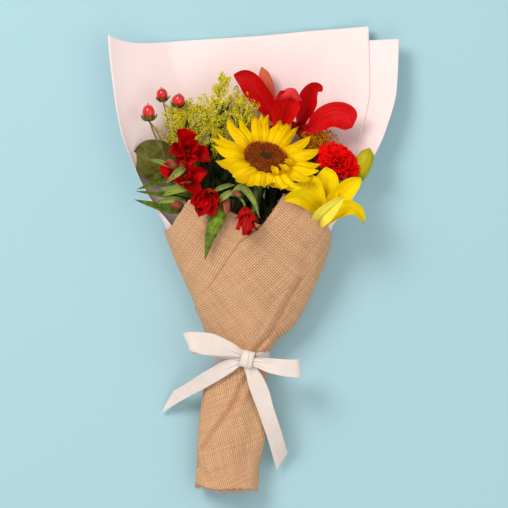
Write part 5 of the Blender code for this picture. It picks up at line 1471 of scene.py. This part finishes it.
def buildBerries():
    picker = random.Random(41)
    stalks = newHeap()
    for index, (route, radius) in enumerate(berryStalks):
        line = smoothLine(tiedRoute((-8.3, 0.0), route) if index == 0 else list(route),
                          60 if index == 0 else 24)
        addTube(stalks, line, lambda t, thick=radius: thick * (1.25 - 0.35 * t), 8, 0.5)
    makePiece("hypericumStem", stalks, "green_stem", replaces=("hypericum_stem",), finish="brown_twig")
    for name, berryNode, calyxNode, centre, radii, axis in berries:
        axis, first, second = axisFrame(axis, (0, 0, 1))
        centre = Vector(centre)
        fruit, sepals = newHeap(), newHeap()
        addBall(fruit, centre, axis, radii, 24, 16, 0.3,
                lambda angle, climb: 1.0 + 0.035 * math.cos(3 * angle) - 0.10 * max(0.0, climb - 0.6))
        for index in range(3):  # the dried styles at the tip
            angle = 2 * math.pi * index / 3
            out = ringWays(first, second, angle)[0]
            tip = centre + axis * (radii[1] + 1.6) + out * 0.9
            addTube(sepals, smoothLine([centre + axis * (radii[1] - 0.4), centre + axis * (radii[1] + 0.7),
                                        tip], 6),
                    lambda t: 0.42 - 0.25 * t, 5, 0.1)
        bottom = centre - axis * (radii[1] + 0.9)
        for index in range(5):
            angle = 2 * math.pi * (index + picker.uniform(-0.1, 0.1)) / 5
            out, around = ringWays(first, second, angle)
            wide = picker.uniform(1.1, 1.45)
            spine = [bottom + out * 0.8, bottom + out * (radii[0] * 0.62) + axis * 1.2,
                     bottom + out * (radii[0] * wide * 0.86) + axis * (radii[1] * 0.55),
                     bottom + out * (radii[0] * wide) + axis * (radii[1] * 0.95)]
            addPetal(sepals, spine, [around] * 4, {"width": 7.0, "base": 0.45, "widest": 0.45, "blunt": 1.7,
                                                   "taper": 0.9, "cup": 0.2, "rib": 0.25},
                                                   picker.uniform(0.4, 1.0), 6, 10)
        makePiece(name, fruit, "berry_red", replaces=(berryNode,), smoothing=1)
        makePiece(name + "Calyx", sepals, "soft_leaf", replaces=(calyxNode,), thick=0.3)


# ---- goldenrod ----

bundle = {
    "cut": (-29.0, -264.0, 22.0, 1.2),
    "line": ((-23.0, -205.0, 22.4, 1.12), (-17.0, -160.0, 22.6, 1.05), (-14.3, -122.4, 22.6, 1.0),
             (-11.5, -96.0, 22.9, 1.14)),
}
sprays = (
    # piece, node, finish, place in the bundle, bare route, branch tips, floret size
    ("goldenrodLeft", "solidago_spray_1", "floret_yellow", (-11.5, -7.6),
     ((-36, -60, 14), (-62, 20, 13), (-76, 90, 16), (-78, 122, 25), (-78, 148, 29), (-77, 176, 34)),
     ((-106, 184, 34), (-98, 170, 36), (-92, 192, 34), (-86, 176, 42), (-76, 191, 38), (-66, 186, 42),
      (-58, 172, 44), (-96, 156, 32), (-60, 158, 40), (-88, 148, 38), (-66, 144, 42), (-102, 144, 28),
      (-100, 180, 34), (-94, 176, 36), (-82, 184, 36), (-70, 184, 38), (-108, 174, 30), (-107, 160, 28),
      (-92, 162, 34), (-80, 168, 38), (-74, 154, 38)), 1.1),
    ("goldenrodMiddle", "solidago_spray_2", "floret_yellow", (-7.5, -8.9),
     ((-24, -60, 12), (-38, 20, 11), (-45, 100, 15), (-47, 140, 25), (-45, 176, 32), (-38, 220, 40)),
     ((-37.5, 223, 40), (-46, 206, 38), (-31, 208, 40), (-60, 196, 38), (-52, 184, 44), (-34, 190, 44),
      (-24, 198, 38), (-62, 178, 40), (-40, 170, 46), (-24, 178, 42), (-54, 160, 42), (-30, 158, 42),
      (-46, 148, 40), (-37, 216, 40), (-34, 202, 42), (-42, 192, 42), (-66, 184, 36)), 1.05),
    ("goldenrodRight", "solidago_spray_3", "floret_yellow", (-3.4, -8.9),
     ((-12, -60, 12), (-12, 20, 11), (-13, 100, 13), (-16, 140, 18), (-17, 166, 25), (-18, 192, 33)),
     ((-20, 205, 32), (-8, 200, 33), (-14, 190, 38), (-1, 188, 32), (-26, 186, 34), (-6, 176, 36),
      (-18, 172, 40), (2, 172, 30), (-28, 166, 34), (-8, 160, 34)), 1.1),
    ("goldenrodBronze", "bronze_spray", "floret_bronze", (6.8, -0.4),
     ((9, -60, 17), (34, 20, 18), (58, 84, 18), (66, 118, 23), (76, 140, 28), (90, 147, 31)),
     ((98, 148, 36), (90, 154, 34), (80, 152, 36), (70, 148, 34), (64, 140, 34), (76, 140, 38), (88, 142, 38),
      (100, 138, 34), (60, 150, 30)), 1.15),
)


def tiedRoute(offset, beyond):
    across, up = offset
    x, y, z, spread = bundle["cut"]
    middle = [(px + across * loose, py, pz + up * loose) for px, py, pz, loose in bundle["line"]]
    return [(x + across * spread, y, z + up * spread)] + middle + list(beyond)


def buildGoldenrod():
    picker = random.Random(77)
    for name, node, finish, offset, beyond, tips, size in sprays:
        stems, florets, blades = newHeap(), newHeap(), newHeap()
        stalk = smoothLine(tiedRoute(offset, beyond), 70)
        addTube(stems, stalk, lambda t: 1.8 - 1.0 * max(0.0, t - 0.6) / 0.4, 8, 0.5)
        crowd = list(tips)
        for x, y, z in tips:  # shorter side branches fill the plume
            for _ in range(2):
                crowd.append((x + picker.uniform(-10, 10), y - picker.uniform(2, 17),
                              z + picker.uniform(-6, 7)))
        for tip in crowd:
            tip = Vector(tip)
            best = min(range(40, 68), key=lambda i: abs((tip - stalk[i]).length - (tip.y - stalk[i].y)
                                                        * 1.35))
            root = stalk[best]
            out = tip - root
            arch = root + out * 0.55 + Vector((0, 0, 0.10 * out.length))
            branch = smoothLine([root, arch, tip], 16)
            addTube(stems, branch, lambda t: 0.7 - 0.45 * t, 5, 0.7)
            for index in range(3, 16):
                t = index / 15
                ahead = (branch[index] - branch[index - 1]).normalized()
                side, other = axisFrame(ahead, (0, 0, 1))[1:]
                for _ in range(3):  # short twigs, each with its cluster
                    angle = picker.uniform(-1.9, 1.9)
                    away = (side * math.cos(angle) + other * math.sin(angle))
                    reach = picker.uniform(0.8, 6.0) * (1.15 - t * 0.75)
                    knot = branch[index] + (away * 0.9 + ahead * 0.7) * reach
                    for _ in range(3):
                        spot = knot + Vector((picker.uniform(-2.1, 2.1), picker.uniform(-2.1, 2.1),
                                              picker.uniform(-1.2, 1.8)))
                        big = size * picker.uniform(0.5, 1.05)
                        addBall(florets, spot, away + ahead * 1.2, (big * 0.8, big), 5, 2,
                                picker.choice((0.1, 0.5, 0.8, 1.0, 1.0)))
        for leaf in range(96):  # narrow leaves up the stem, their green painted dark as shade
            index = 20 + leaf % 44
            ahead = (stalk[index + 1] - stalk[index]).normalized()
            if stalk[index].y < 18 or stalk[index].y > (165 if finish == "floret_yellow" else 95):
                continue
            side, other = axisFrame(ahead, (0, 0, 1))[1:]
            angle = picker.uniform(-1.5, 1.5)
            away = side * math.cos(angle) + other * math.sin(angle)
            length = picker.uniform(17, 31)
            spine = [stalk[index] + away * 0.8, stalk[index] + away * length * 0.35 + ahead * length * 0.35,
                     stalk[index] + away * length * 0.5 + ahead * length * 0.72 + Vector((0, 0, 1)),
                     stalk[index] + away * length * 0.55 + ahead * length + Vector((0, 0, -1))]
            around = ahead.cross(away)
            addPetal(blades, spine, [around] * 4, {"width": 5.6, "base": 0.3, "widest": 0.4, "blunt": 1.4,
                                                   "taper": 1.0, "cup": 0.2, "rib": 0.25},
                                                   picker.uniform(0.0, 0.6), 4, 10)
        makePiece(name, stems, "green_stem", replaces=(node,))
        makePiece(name + "Florets", florets, finish)
        makePiece(name + "Blades", blades, "soft_leaf", thick=0.3, finish="shaded_leaf")


buildSunflower()
buildLily(redLily, "lily_red", 3)
buildLily(yellowLily, "lily_yellow", 4)
buildFoldedTip()
buildBuds()
buildCarnation()
buildAlstroemeria()
buildLeaves()
buildBerries()
buildGoldenrod()
print("flowers and foliage built")


# ---- the CAD pieces that stay: stems, twine, calyxes ----

kept = {"stem_tie": "natural_twine"}
for nodeName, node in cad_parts.items():
    if nodeName.endswith("_stem") or "_stem_" in nodeName or nodeName in ("salal_stalk", "carnation_calyx",
                                                                         "sunflower_calyx"):
        kept[nodeName] = "green_stem"
for nodeName, finishName in kept.items():
    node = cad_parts[nodeName]
    for holder in node.material_slots:
        holder.material = finishes[finishName]
print("stems finished:", len(kept))
